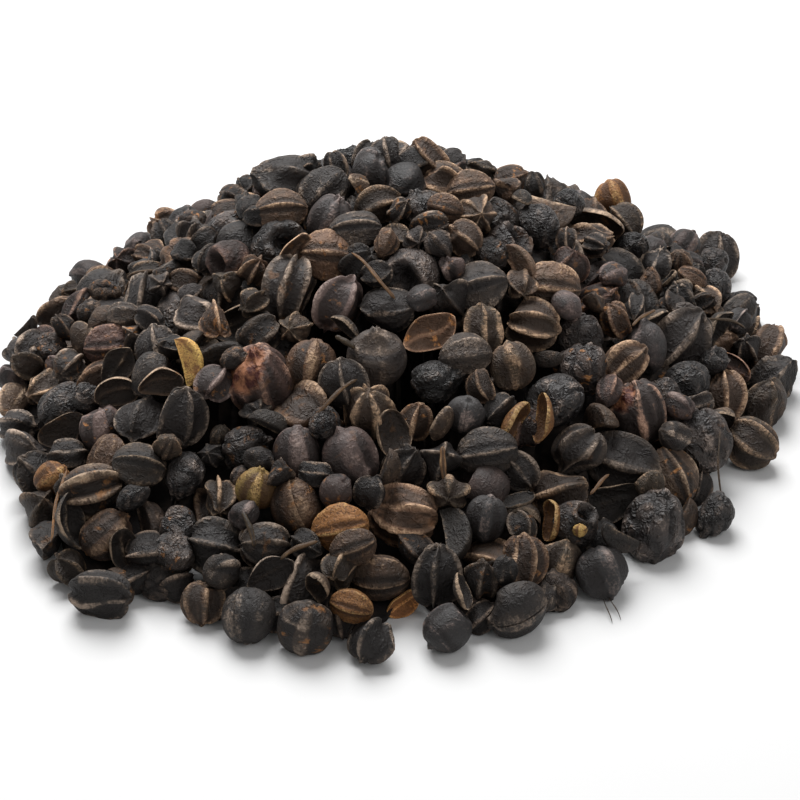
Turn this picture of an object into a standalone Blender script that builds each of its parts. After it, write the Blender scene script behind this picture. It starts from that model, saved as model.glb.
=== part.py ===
"""A loose heap of dried eleuthero berries, lying as it was poured out on a table.

The heap is one solid out to its uneven outline. Each berry is first a ball that
rests on the table or on the balls under it. The balls of the outer layers are
then sunk into a mound, and the whole is joined into one skin that stands on a
flat underside.

Units are metres, +Z is up, and the origin is the middle of the underside.
"""

import math
import random

import bmesh
import bpy
import numpy as np
from mathutils import Matrix

# Driving dimensions of the heap.
HEAP_RADIUS = 0.0590
HEAP_HEIGHT = 0.0350
BERRY_RADIUS = 0.0036

# The peak lies a little behind the middle.
PEAK_X = 0.0005
PEAK_Y = 0.0090

# Tongues (+) and bays (-) of the rim: bearing and half width in degrees, reach in metres.
RIM_LOBES = (
    (-135, 11, 0.0080),
    (-125, 6, -0.0080),
    (-101, 16, 0.0018),
    (-88, 3, -0.0080),
    (-78, 2.5, -0.0040),
    (-63, 6, -0.0055),
    (-48, 6, -0.0070),
    (-38, 3.5, -0.0035),
    (-18, 9, -0.0040),
    (31, 10, 0.0030),
    (46, 5, -0.0045),
    (62, 12, -0.0030),
    (140, 14, -0.0025),
    (180, 12, 0.0015),
)

# Rises of the surface: x, y, half width and height in metres.
RISES = (
    (-0.0175, 0.0140, 0.0080, 0.0022),
    (0.0345, 0.0330, 0.0070, 0.0036),
    (-0.0400, 0.0200, 0.0110, -0.0018),
)

# Berries with a chosen place, in millimetres: x, y and radius.
RIM_BERRIES = (
    (-3.3, -62.6, 3.3),
    (-12.5, -60.6, 3.6),
    (-20.3, -58.0, 3.6),
    (-26.8, -54.4, 2.9),
    (-41.1, -53.4, 3.5),
    (7.0, -60.4, 3.2),
    (16.4, -57.2, 4.0),
    (28.7, -48.7, 3.5),
    (36.9, -39.2, 4.4),
    (46.0, -34.4, 2.9),
    (53.2, -18.0, 3.5),
    (44.3, 39.5, 3.4),
    (53.4, 35.0, 3.6),
)
SLOPE_BERRIES = (
    (5.5, -52.7, 3.7),
    (-5.0, -57.2, 2.4),
    (1.5, -54.0, 2.2),
    (-25.1, -45.7, 4.1),
    (-7.8, -47.5, 2.8),
    (0.7, -42.6, 3.9),
    (7.4, -42.0, 2.5),
    (-19.7, -40.7, 2.3),
    (-14.0, -36.0, 3.4),
    (-6.5, -37.0, 3.9),
    (23.2, -37.6, 3.7),
    (33.0, -29.8, 4.2),
    (44.9, -22.4, 4.0),
    (49.6, -10.4, 3.5),
    (43.2, -2.6, 4.5),
    (35.4, -22.0, 4.2),
    (19.1, -30.3, 2.7),
    (9.8, -30.6, 2.7),
    (2.4, -31.0, 2.6),
    (27.0, -18.2, 3.6),
    (33.6, -14.6, 3.1),
    (19.9, -13.0, 3.8),
    (22.8, -5.6, 3.4),
    (12.6, -16.3, 3.1),
    (4.8, -18.0, 3.3),
    (-2.7, -21.8, 4.2),
    (-8.6, -13.2, 4.1),
    (2.2, -8.8, 4.0),
    (-19.6, -22.5, 3.9),
    (-30.1, -20.2, 2.1),
    (-30.6, -28.8, 3.6),
    (-35.8, -11.6, 3.3),
    (-50.2, -14.2, 3.5),
    (-43.2, -23.2, 3.2),
    (-36.7, -34.7, 3.2),
    (-21.4, -32.3, 3.2),
    (-46.5, 15.0, 4.3),
    (-53.6, 12.6, 3.7),
    (-33.0, 10.8, 3.7),
    (7.6, 11.1, 3.5),
    (34.6, 34.6, 2.9),
    (-17.6, 13.0, 3.5),
)

SEED = 7
STAND_OUT = 0.0004  # how far a berry with a chosen place stands out of the surface
SOLID_DEPTH = 0.0078  # a ball whose top lies deeper than this is inside the mound
MOUND_BELOW = 0.0046  # the mound between the balls lies this far under the surface
NECKS_FROM = 0.93  # berries from this share of the way to the rim on are joined by a neck
SINK = 0.0003  # how far the lowest balls are pressed into the table plane
SPARE = 0.0012  # a poured berry may stand this far out of the surface
POURS = (1.05, 0.85, 0.68)  # sizes of the berries of each pour, as shares of the common size
LARGEST_RADIUS = 0.0050
SKIN_STEP = 0.00115
MOST_TRIANGLES = 7600

EIGHTH = 0.70710678
COMPASS = np.array(
    [
        (1, 0),
        (EIGHTH, EIGHTH),
        (0, 1),
        (-EIGHTH, EIGHTH),
        (-1, 0),
        (-EIGHTH, -EIGHTH),
        (0, -1),
        (EIGHTH, -EIGHTH),
    ]
)


def rim_radius(bearing):
    """How far the heap reaches on a bearing, in degrees, to its last berry's middle."""
    reach = HEAP_RADIUS
    for middle, width, out in RIM_LOBES:
        apart = (bearing - middle + 180) % 360 - 180
        reach += out * math.exp(-((apart / width) ** 2))
    return reach


def share_of_way(x, y):
    """0 under the peak, 1 at the rim."""
    bearing = math.degrees(math.atan2(y, x))
    near_middle = max(0.0, 1 - math.hypot(x, y) / rim_radius(bearing))
    x -= PEAK_X * near_middle
    y -= PEAK_Y * near_middle
    return math.hypot(x, y) / rim_radius(math.degrees(math.atan2(y, x)))


def surface_height(x, y):
    """The finished heap's height over a point of the table, or -1 outside the rim."""
    way = share_of_way(x, y)
    if way > 1:
        return -1.0
    rim = 2.05 * BERRY_RADIUS
    height = rim + (HEAP_HEIGHT - rim) * (1 - way**1.7) ** 1.25
    height += 0.0013 * math.sin(95 * x + 1.0) * math.cos(80 * y - 0.6) * (1 - way)
    for middle_x, middle_y, width, rise in RISES:
        height += rise * math.exp(-((x - middle_x) ** 2 + (y - middle_y) ** 2) / width**2)
    return max(height, rim)


def height_of_rest(balls, x, y, radius):
    """How high a ball's middle stops when it comes down over each point."""
    apart = (balls[:, 0] - x[:, None]) ** 2 + (balls[:, 1] - y[:, None]) ** 2
    room = (balls[:, 3] + radius) ** 2 - apart
    heights = np.where(room > 0, balls[:, 2] + np.sqrt(np.maximum(room, 0)), radius)
    return heights.max(axis=1, initial=radius)


class Pile:
    """Balls, each of which rests on the table or on those below it."""

    def __init__(self):
        self.rows = np.zeros((1500, 4))
        self.count = 0

    @property
    def balls(self):
        """The balls so far, each as x, y, z and radius."""
        return self.rows[: self.count]

    def roll(self, x, y, radius, furthest):
        """Drops a ball, which then rolls downhill until it lies in a hollow or has gone furthest."""
        step = 0.3 * radius
        reach = radius + LARGEST_RADIUS + furthest + step
        near = np.abs(self.balls[:, :2] - (x, y)).max(axis=1, initial=0) < reach
        balls = self.balls[near]
        z = float(height_of_rest(balls, np.array([x]), np.array([y]), radius)[0])
        gone = 0.0
        while step > 0.04 * radius and gone < furthest:
            tries = COMPASS * step + (x, y)
            heights = height_of_rest(balls, tries[:, 0], tries[:, 1], radius)
            lowest = int(np.argmin(heights))
            if heights[lowest] < z - 1e-6:
                x, y = (round(float(c), 7) for c in tries[lowest])
                z = float(heights[lowest])
                gone += step
            else:
                step /= 2
        return x, y, z

    def add(self, x, y, z, radius):
        """Leaves a ball there."""
        self.rows[self.count] = (round(x, 7), round(y, 7), round(z, 7), radius)
        self.count += 1


def some_radius(rng):
    """A berry's radius: most are near the common one, some are dwarfs and a few are giants."""
    radius = BERRY_RADIUS * (1 + 0.18 * (rng.random() + rng.random() + rng.random() - 1.5))
    if rng.random() < 0.13:
        radius *= 0.76
    if rng.random() < 0.06:
        radius *= 1.14
    return round(radius, 6)


def lay_rim(pile, rng):
    """A nearly closed ring of berries on the table, along the rim."""
    bearing = -180.0
    while bearing < 180:
        radius = some_radius(rng)
        reach = rim_radius(bearing) - 0.0016 * rng.random()
        x = reach * math.cos(math.radians(bearing))
        y = reach * math.sin(math.radians(bearing))
        if pile.roll(x, y, radius, furthest=0.0)[2] > radius:
            bearing += 0.5
            continue
        if rng.random() < 0.88:
            pile.add(x, y, radius, radius)
        bearing += math.degrees(1.9 * radius / reach)


def pour(pile, rng, share, patience=700):
    """Pours berries of a share of the common size until no more will stay under the surface."""
    misses = 0
    while misses < patience:
        radius = round(share * some_radius(rng), 6)
        bearing = 360 * rng.random() - 180
        reach = math.sqrt(rng.random()) * rim_radius(bearing)
        x = round(reach * math.cos(math.radians(bearing)), 7)
        y = round(reach * math.sin(math.radians(bearing)), 7)
        x, y, z = pile.roll(x, y, radius, furthest=2 * radius)
        if share_of_way(x, y) > 1 or z + radius > surface_height(x, y) + SPARE:
            misses += 1
            continue
        misses = 0
        pile.add(x, y, z, radius)


def pour_heap():
    """The whole heap as balls (x, y, z, radius), with the middle of its box over the origin."""
    rng = random.Random(SEED)
    pile = Pile()
    for x, y, radius in RIM_BERRIES:
        pile.add(x / 1000, y / 1000, radius / 1000, radius / 1000)
    for x, y, radius in SLOPE_BERRIES:
        x, y, radius = x / 1000, y / 1000, radius / 1000
        pile.add(x, y, max(surface_height(x, y) + STAND_OUT - radius, radius), radius)
    lay_rim(pile, rng)
    for share in POURS:
        pour(pile, rng, share)
    balls = pile.balls.copy()
    low = (balls[:, :2] - balls[:, 3:]).min(axis=0)
    high = (balls[:, :2] + balls[:, 3:]).max(axis=0)
    return balls, (low + high) / 2


def add_mound(mesh, centre):
    """The body under the outer berries: a dome that follows the rim and the surface."""
    made = bmesh.ops.create_uvsphere(mesh, u_segments=72, v_segments=24, radius=1)
    inset = 0.93
    for vert in made["verts"]:
        way = math.hypot(vert.co.x, vert.co.y)
        bearing = math.atan2(vert.co.y, vert.co.x)
        reach = inset * way * rim_radius(math.degrees(bearing))
        x, y = reach * math.cos(bearing), reach * math.sin(bearing)
        top = surface_height(x, y) - MOUND_BELOW
        vert.co = (x - centre[0], y - centre[1], top if vert.co.z > 0 else -MOUND_BELOW)


def add_berry(mesh, ball, centre):
    """One berry of the outline, as a ball."""
    x, y, z, radius = ball
    place = Matrix.Translation((x - centre[0], y - centre[1], z - SINK))
    bmesh.ops.create_icosphere(mesh, subdivisions=2, radius=radius, matrix=place)


def add_neck(mesh, ball, centre):
    """A smaller ball behind a berry of the rim, which joins it to the heap."""
    x, y, z, radius = ball
    inward = 1 - 1.15 * radius / math.hypot(x, y)
    add_berry(mesh, (x * inward, y * inward, 0.8 * z, 0.7 * radius), centre)


def build_outline():
    """The heap's mesh before its skin is drawn: the mound and the balls that stand out of it."""
    balls, centre = pour_heap()
    mesh = bmesh.new()
    add_mound(mesh, centre)
    for ball in balls:
        depth = surface_height(ball[0], ball[1]) - ball[2] - ball[3]
        if depth < SOLID_DEPTH:
            add_berry(mesh, ball, centre)
        if share_of_way(ball[0], ball[1]) > NECKS_FROM:
            add_neck(mesh, ball, centre)
    data = bpy.data.meshes.new("berry_heap")
    mesh.to_mesh(data)
    mesh.free()
    return data


def berry_material():
    """Dull dark brown, almost black, dried fruit skin."""
    material = bpy.data.materials.new("dried_berry")
    material.use_nodes = True
    shader = material.node_tree.nodes["Principled BSDF"]
    shader.inputs["Base Color"].default_value = (0.045, 0.034, 0.030, 1)
    shader.inputs["Roughness"].default_value = 0.68
    shader.inputs["Metallic"].default_value = 0.0
    return material


def add_collection(name):
    """A collection of that name in the scene."""
    collection = bpy.data.collections.new(name)
    bpy.context.scene.collection.children.link(collection)
    return collection


def make_table_cutter(collection):
    """A block below the table plane, which cuts the heap's underside flat."""
    bpy.ops.mesh.primitive_cube_add(size=1)
    cutter = bpy.context.object
    cutter.name = "table_cutter"
    width = 4 * HEAP_RADIUS
    for vert in cutter.data.vertices:
        vert.co = (width * vert.co.x, width * vert.co.y, HEAP_HEIGHT * (vert.co.z - 0.5))
    cutter.hide_render = True
    cutter.display_type = "WIRE"
    for other in cutter.users_collection:
        other.objects.unlink(cutter)
    collection.objects.link(cutter)
    return cutter


def count_of_triangles(obj):
    """How many triangles the object has with the modifiers it has so far."""
    evaluated = obj.evaluated_get(bpy.context.evaluated_depsgraph_get())
    mesh = evaluated.to_mesh()
    mesh.calc_loop_triangles()
    count = len(mesh.loop_triangles)
    evaluated.to_mesh_clear()
    return count


def make_heap(collection, cutter):
    """The heap: one skin round the mound and the berries, thinned, with a flat underside."""
    heap = bpy.data.objects.new("berry_heap", build_outline())
    collection.objects.link(heap)
    heap.data.materials.append(berry_material())

    skin = heap.modifiers.new("skin", "REMESH")
    skin.mode = "VOXEL"
    skin.voxel_size = SKIN_STEP
    skin.use_smooth_shade = True

    thin = heap.modifiers.new("thin", "DECIMATE")
    thin.ratio = MOST_TRIANGLES / count_of_triangles(heap)

    flat = heap.modifiers.new("flat_underside", "BOOLEAN")
    flat.operation = "DIFFERENCE"
    flat.solver = "EXACT"
    flat.object = cutter
    return heap


def main():
    """Clears the scene and builds the heap."""
    for obj in list(bpy.data.objects):
        bpy.data.objects.remove(obj)
    cutter = make_table_cutter(add_collection("cutters"))
    make_heap(add_collection("dried_eleuthero_berries"), cutter)


main()
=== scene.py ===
"""The looks of a loose heap of dried eleuthero berries.

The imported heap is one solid. Here it is replaced with the real things: over five hundred
berries, open husks and seeds, each of its own shape, with a few stalks among them, over a
dark core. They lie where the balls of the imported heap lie, so the heap is poured here again
in the same way.

Units are metres, +Z is up.
"""

import logging
import math
import random
from dataclasses import dataclass, field
from enum import Enum

import bmesh
import bpy
import numpy as np
from mathutils import Matrix, Vector


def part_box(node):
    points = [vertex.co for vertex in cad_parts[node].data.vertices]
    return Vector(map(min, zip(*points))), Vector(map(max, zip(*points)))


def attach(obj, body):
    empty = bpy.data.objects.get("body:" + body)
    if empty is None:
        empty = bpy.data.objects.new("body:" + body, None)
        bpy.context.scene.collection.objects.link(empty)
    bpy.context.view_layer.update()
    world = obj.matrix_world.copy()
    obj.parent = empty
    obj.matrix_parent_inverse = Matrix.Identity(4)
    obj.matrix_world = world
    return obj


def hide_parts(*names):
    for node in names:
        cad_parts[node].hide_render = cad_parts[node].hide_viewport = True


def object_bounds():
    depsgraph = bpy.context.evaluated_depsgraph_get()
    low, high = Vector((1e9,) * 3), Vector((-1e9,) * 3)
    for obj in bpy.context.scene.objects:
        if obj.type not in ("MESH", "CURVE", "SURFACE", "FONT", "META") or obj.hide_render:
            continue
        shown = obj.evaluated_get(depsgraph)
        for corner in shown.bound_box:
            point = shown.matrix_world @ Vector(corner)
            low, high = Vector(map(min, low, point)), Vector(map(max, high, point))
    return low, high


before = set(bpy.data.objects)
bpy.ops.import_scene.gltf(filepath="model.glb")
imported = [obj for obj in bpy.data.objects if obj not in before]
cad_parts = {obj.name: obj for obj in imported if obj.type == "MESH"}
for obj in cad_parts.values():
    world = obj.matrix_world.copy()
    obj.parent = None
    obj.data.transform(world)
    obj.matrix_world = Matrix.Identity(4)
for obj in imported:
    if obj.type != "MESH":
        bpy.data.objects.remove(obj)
PACKED_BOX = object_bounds()

log = logging.getLogger("berries")

HEAP_NODE = "berry_heap"
BODY = "root"
TURN = 2 * math.pi
BAKE_MAP = "OFBake"
MILLIMETRE = 0.001
HEAP_MIDDLE = (0.0001, 0.0025)  # where the middle of the pour comes to lie
ON_TABLE = 0.00002  # the height of what touches the table


# ---------------------------------------------------------------- the heap as balls


@dataclass(frozen=True)
class Outline:
    """The heap's rim and its surface.

    Lobes are tongues (+) and bays (-) of the rim: bearing and half width in degrees, reach in
    metres. Rises are x, y, half width and height in metres.
    """

    radius: float = 0.0590
    height: float = 0.0350
    berry_radius: float = 0.0036
    peak: tuple[float, float] = (0.0005, 0.0090)
    lobes: tuple[tuple[float, float, float], ...] = (
        (-135, 11, 0.0080),
        (-125, 6, -0.0080),
        (-101, 16, 0.0018),
        (-88, 3, -0.0080),
        (-78, 2.5, -0.0040),
        (-63, 6, -0.0055),
        (-48, 6, -0.0070),
        (-38, 3.5, -0.0035),
        (-18, 9, -0.0040),
        (31, 10, 0.0030),
        (46, 5, -0.0045),
        (62, 12, -0.0030),
        (140, 14, -0.0025),
        (180, 12, 0.0015),
    )
    rises: tuple[tuple[float, float, float, float], ...] = (
        (-0.0175, 0.0140, 0.0080, 0.0022),
        (0.0345, 0.0330, 0.0070, 0.0036),
        (-0.0400, 0.0200, 0.0110, -0.0018),
    )

    def rim(self, bearing: float) -> float:
        """How far the heap reaches to its last berry's middle.

        Args:
            bearing: The direction, in degrees.

        Returns:
            The distance from the origin.
        """
        reach = self.radius
        for middle, width, out in self.lobes:
            apart = (bearing - middle + 180) % 360 - 180
            reach += out * math.exp(-((apart / width) ** 2))
        return reach

    def way(self, x: float, y: float) -> float:
        """0 under the peak, 1 at the rim."""
        bearing = math.degrees(math.atan2(y, x))
        near_middle = max(0.0, 1 - math.hypot(x, y) / self.rim(bearing))
        x -= self.peak[0] * near_middle
        y -= self.peak[1] * near_middle
        return math.hypot(x, y) / self.rim(math.degrees(math.atan2(y, x)))

    def surface(self, x: float, y: float) -> float:
        """The finished heap's height over a point of the table, or -1 outside the rim.

        Args:
            x: The point's place along X.
            y: Its place along Y.

        Returns:
            The height.
        """
        way = self.way(x, y)
        if way > 1:
            return -1.0
        rim = 2.05 * self.berry_radius
        height = rim + (self.height - rim) * (1 - way**1.7) ** 1.25
        height += 0.0013 * math.sin(95 * x + 1.0) * math.cos(80 * y - 0.6) * (1 - way)
        for middle_x, middle_y, width, rise in self.rises:
            away = ((x - middle_x) ** 2 + (y - middle_y) ** 2) / width**2
            height += rise * math.exp(-away)
        return max(height, rim)


def height_of_rest(balls: np.ndarray, x: np.ndarray, y: np.ndarray, radius: float) -> np.ndarray:
    """How high a ball's middle stops when it comes down over each point.

    Args:
        balls: Rows of x, y, z and radius of the balls that lie there.
        x: The points' places along X.
        y: The points' places along Y.
        radius: The falling ball's radius.

    Returns:
        A height for each point.
    """
    apart = (balls[:, 0] - x[:, None]) ** 2 + (balls[:, 1] - y[:, None]) ** 2
    room = (balls[:, 3] + radius) ** 2 - apart
    heights = np.where(room > 0, balls[:, 2] + np.sqrt(np.maximum(room, 0)), radius)
    return heights.max(axis=1, initial=radius)


class Pile:
    """Balls, each of which rests on the table or on those below it."""

    EIGHTH = 0.70710678
    NORTH = [(1, 0), (EIGHTH, EIGHTH), (0, 1), (-EIGHTH, EIGHTH)]
    SOUTH = [(-1, 0), (-EIGHTH, -EIGHTH), (0, -1), (EIGHTH, -EIGHTH)]
    COMPASS = np.array(NORTH + SOUTH)
    LARGEST_RADIUS = 0.0050

    def __init__(self) -> None:
        """Starts with a bare table."""
        self.rows = np.zeros((1500, 4))
        self.count = 0

    @property
    def balls(self) -> np.ndarray:
        """The balls so far, each as x, y, z and radius."""
        return self.rows[: self.count]

    def roll(self, x: float, y: float, radius: float, furthest: float) -> tuple[float, float, float]:
        """Drops a ball, which then rolls downhill until it lies in a hollow or has gone furthest.

        Args:
            x: Where it comes down, along X.
            y: Where it comes down, along Y.
            radius: Its radius.
            furthest: How far it may roll.

        Returns:
            Where its middle stops.
        """
        step = 0.3 * radius
        reach = radius + self.LARGEST_RADIUS + furthest + step
        near = np.abs(self.balls[:, :2] - (x, y)).max(axis=1, initial=0) < reach
        balls = self.balls[near]
        z = float(height_of_rest(balls, np.array([x]), np.array([y]), radius)[0])
        gone = 0.0
        while step > 0.04 * radius and gone < furthest:
            tries = self.COMPASS * step + (x, y)
            heights = height_of_rest(balls, tries[:, 0], tries[:, 1], radius)
            lowest = int(np.argmin(heights))
            if heights[lowest] < z - 1e-6:
                x, y = (round(float(c), 7) for c in tries[lowest])
                z = float(heights[lowest])
                gone += step
            else:
                step /= 2
        return x, y, z

    def add(self, x: float, y: float, z: float, radius: float) -> None:
        """Leaves a ball there."""
        self.rows[self.count] = (round(x, 7), round(y, 7), round(z, 7), radius)
        self.count += 1


class Kind(Enum):
    """The kinds of things in the heap."""

    CHARCOAL = "charcoal_berries"
    BROWN = "brown_berries"
    RAISIN = "wrinkled_berries"
    PLUM = "smooth_berries"
    BURST = "burst_berries"
    DARK_HUSK = "dark_husks"
    TAN_HUSK = "tan_husks"
    CRUMB = "small_berries"
    UNDER = "lower_berries"


class Look(Enum):
    """Shapes a berry or a husk can dry to."""

    RIBBED = "five raised ribs"
    SUNKEN = "ribs with the skin sunk between them"
    LOBED = "two or three swollen lobes with one band"
    WRINKLED = "folded like a raisin"
    SMOOTH = "plump, with one faint ridge"
    CAPPED = "plump, with a ring round its top"
    BURST = "split skin with the flesh showing"
    HOLLOW = "empty, with a hole"
    DISH = "a husk's half, open like a dish"
    LENS = "a husk with two faces and a ridge"
    SEGMENT = "a slice with two flat faces"
    STAR = "the flat top with its five teeth"


@dataclass(frozen=True)
class Chosen:
    """A thing with a place of its own in the heap.

    x, y and radius are in millimetres. Lie is the way the tip points as the viewer sees it, in
    degrees from right, and nod how far it points at the viewer; at spin 0 its first rib or its
    hollow faces the viewer. Light and warm tell how pale and how brown it is, moved how far in
    millimetres it lies from its ball, and ribs how many it has if its look doesn't tell. A thing
    without a ball has the height of its middle instead.
    """

    x: float
    y: float
    radius: float
    kind: Kind
    look: Look
    lie: float = 0.0
    nod: float = 0.0
    spin: float = 0.0
    light: float = 1.0
    warm: float = 0.5
    ribs: int = 0
    moved: tuple[float, float, float] = (0.0, 0.0, 0.0)
    grow: float = 1.0
    height: float = 0.0


RIM_BERRIES = (
    Chosen(-3.3, -62.6, 3.3, Kind.CHARCOAL, Look.SUNKEN, 240, 20, 30, 0.9, 0.2, 4),
    Chosen(-12.5, -60.6, 3.6, Kind.CHARCOAL, Look.SMOOTH, 80, 30, 0, 0.85, 0.9),
    Chosen(-20.3, -58.0, 3.6, Kind.CHARCOAL, Look.SMOOTH, 270, 20, 30, 1.0, 0.1),
    Chosen(-26.8, -54.4, 2.9, Kind.BROWN, Look.RIBBED, 265, 5, -12, 0.85, 0.6, 6),
    Chosen(-41.1, -53.4, 3.5, Kind.CHARCOAL, Look.RIBBED, -5, 10, 36, 0.9, 0.3, 5),
    Chosen(7.0, -60.4, 3.2, Kind.PLUM, Look.SMOOTH, 225, 10, 100, 0.85, 0.1),
    Chosen(16.4, -57.2, 4.0, Kind.CHARCOAL, Look.LOBED, 205, 10, -30, 0.95, 0.35, 2, grow=0.93),
    Chosen(28.7, -48.7, 3.5, Kind.PLUM, Look.LOBED, 285, 5, -25, 0.85, 0.0, 2),
    Chosen(36.9, -39.2, 4.4, Kind.RAISIN, Look.WRINKLED, 80, 15, 0, 1.25, 0.6),
    Chosen(46.0, -34.4, 2.9, Kind.RAISIN, Look.WRINKLED, 250, 5, 0, 0.9, 0.4),
    Chosen(53.2, -18.0, 3.5, Kind.BROWN, Look.RIBBED, -35, 5, 20, 0.7, 0.4, 6),
    Chosen(44.3, 39.5, 3.4, Kind.CHARCOAL, Look.LOBED, 185, 0, 30, 0.9, 0.5, 2),
    Chosen(53.4, 35.0, 3.6, Kind.CHARCOAL, Look.RIBBED, 85, 5, 0, 1.25, 0.5, 5),
)
SLOPE_BERRIES = (
    Chosen(5.5, -52.7, 3.7, Kind.CHARCOAL, Look.SUNKEN, 85, 12, -6, 0.85, 0.4, 5),
    Chosen(-5.0, -57.2, 2.4, Kind.TAN_HUSK, Look.LENS, -15, 10, 20, 0.72, 1.0, 0, (-1.2, -1.2, -0.8)),
    Chosen(1.5, -54.0, 2.2, Kind.TAN_HUSK, Look.DISH, 38, 0, 30, 2.4, 1.0, 0, (-0.6, 0.0, 0.0)),
    Chosen(-25.1, -45.7, 4.1, Kind.CHARCOAL, Look.RIBBED, -15, 5, -4, 0.8, 0.3, 5),
    Chosen(-7.8, -47.5, 2.8, Kind.TAN_HUSK, Look.LENS, 12, 5, 10, 0.98, 1.0, grow=1.18),
    Chosen(0.7, -42.6, 3.9, Kind.BROWN, Look.RIBBED, -12, 3, 38, 2.4, 0.7, 6, grow=1.1),
    Chosen(7.4, -42.0, 2.5, Kind.BROWN, Look.STAR, 250, 60, 20, 1.5, 0.1),
    Chosen(-19.7, -40.7, 2.3, Kind.TAN_HUSK, Look.LOBED, 80, 22, 0, 0.75, 0.25, 3, grow=1.22),
    Chosen(-14.0, -36.0, 3.4, Kind.PLUM, Look.LOBED, 90, 12, 0, 1.3, 0.7, 3),
    Chosen(-6.5, -37.0, 3.9, Kind.PLUM, Look.LOBED, 115, 8, 12, 1.35, 0.7, 2),
    Chosen(23.2, -37.6, 3.7, Kind.BROWN, Look.SUNKEN, 15, 10, -12, 0.9, 0.5, 5),
    Chosen(33.0, -29.8, 4.2, Kind.CHARCOAL, Look.SUNKEN, -15, 8, 10, 1.1, 0.5, 5),
    Chosen(44.9, -22.4, 4.0, Kind.RAISIN, Look.WRINKLED, 100, 0, 0, 1.1, 0.7),
    Chosen(49.6, -10.4, 3.5, Kind.BROWN, Look.RIBBED, 90, -5, 0, 1.2, 0.6, 6),
    Chosen(43.2, -2.6, 4.5, Kind.CHARCOAL, Look.RIBBED, 50, 20, 8, 1.2, 0.5, 6, (0, -0.6, 0.6), 1.1),
    Chosen(35.4, -22.0, 4.2, Kind.BURST, Look.BURST, 100, 25, 0, 1.1, 0.2),
    Chosen(19.1, -30.3, 2.7, Kind.BURST, Look.SUNKEN, 75, 5, 40, 0.8, 0.8, 4, (0, 1.0, -0.8)),
    Chosen(9.8, -30.6, 2.7, Kind.PLUM, Look.SMOOTH, 80, 40, 0, 1.2, 0.0),
    Chosen(2.4, -31.0, 2.6, Kind.BROWN, Look.SUNKEN, 75, 20, 0, 1.2, 1.0, 4),
    Chosen(27.0, -18.2, 3.6, Kind.RAISIN, Look.WRINKLED, 80, 20, 0, 1.6, 0.9),
    Chosen(33.6, -14.6, 3.1, Kind.BROWN, Look.RIBBED, 40, 0, 0, 1.35, 0.6, 6, (0.3, -0.8, -0.3)),
    Chosen(19.9, -13.0, 3.8, Kind.BROWN, Look.RIBBED, -10, 5, -25, 1.1, 0.5, 6),
    Chosen(22.8, -5.6, 3.4, Kind.BROWN, Look.LENS, -6, 0, 8, 1.1, 0.6, 0, (0, -1.0, 0.4), 1.1),
    Chosen(12.6, -16.3, 3.1, Kind.BROWN, Look.RIBBED, 90, 0, 10, 1.15, 0.3, 6),
    Chosen(4.8, -18.0, 3.3, Kind.BROWN, Look.DISH, 27, 0, 0, 2.8, 0.9, 0, (0, -0.3, 0.5), 1.1),
    Chosen(-2.7, -21.8, 4.2, Kind.CHARCOAL, Look.CAPPED, 88, 28, 20, 1.7, 0.45),
    Chosen(-8.6, -13.2, 4.1, Kind.PLUM, Look.SUNKEN, 62, 10, 30, 1.35, 0.8, 4),
    Chosen(2.2, -8.8, 4.0, Kind.RAISIN, Look.HOLLOW, 240, 62, 0, 1.3, 0.6),
    Chosen(-19.6, -22.5, 3.9, Kind.BURST, Look.BURST, 108, 38, 0, 1.05, 0.7, 0, (0, -0.9, 1.1), 1.25),
    Chosen(-30.1, -20.2, 2.1, Kind.TAN_HUSK, Look.SEGMENT, 105, 0, 112, 2.1, 0.35, 0, (0, -0.5, 0.6), 1.25),
    Chosen(-30.6, -28.8, 3.6, Kind.CHARCOAL, Look.SUNKEN, 75, 15, 30, 1.1, 0.4, 5),
    Chosen(-35.8, -11.6, 3.3, Kind.CHARCOAL, Look.RIBBED, 105, 5, 0, 1.2, 0.3, 4),
    Chosen(-50.2, -14.2, 3.5, Kind.RAISIN, Look.WRINKLED, 30, 5, 0, 1.0, 0.3),
    Chosen(-43.2, -23.2, 3.2, Kind.PLUM, Look.LOBED, 100, 10, 0, 1.4, 0.9, 3),
    Chosen(-36.7, -34.7, 3.2, Kind.DARK_HUSK, Look.LENS, 170, 5, 30, 1.0, 0.3),
    Chosen(-21.4, -32.3, 3.2, Kind.RAISIN, Look.WRINKLED, 20, 0, 0, 0.8, 0.8),
    Chosen(-46.5, 15.0, 4.3, Kind.CHARCOAL, Look.LOBED, 60, 5, 40, 0.9, 0.4, 3),
    Chosen(-53.6, 12.6, 3.7, Kind.BROWN, Look.SUNKEN, 20, 0, 36, 0.95, 0.6, 5),
    Chosen(-33.0, 10.8, 3.7, Kind.BROWN, Look.WRINKLED, 60, 0, 0, 1.5, 0.7),
    Chosen(7.6, 11.1, 3.5, Kind.BROWN, Look.SUNKEN, -20, 0, 40, 1.4, 0.6, 5),
    Chosen(34.6, 34.6, 2.9, Kind.TAN_HUSK, Look.LOBED, 110, 0, 10, 0.75, 1.0, 3, (0.8, 0.0, 2.8)),
    Chosen(-17.6, 13.0, 3.5, Kind.CHARCOAL, Look.SUNKEN, 170, 5, 30, 1.1, 0.4, 5, (0.4, 1.0, 2.2), 1.15),
)
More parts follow.
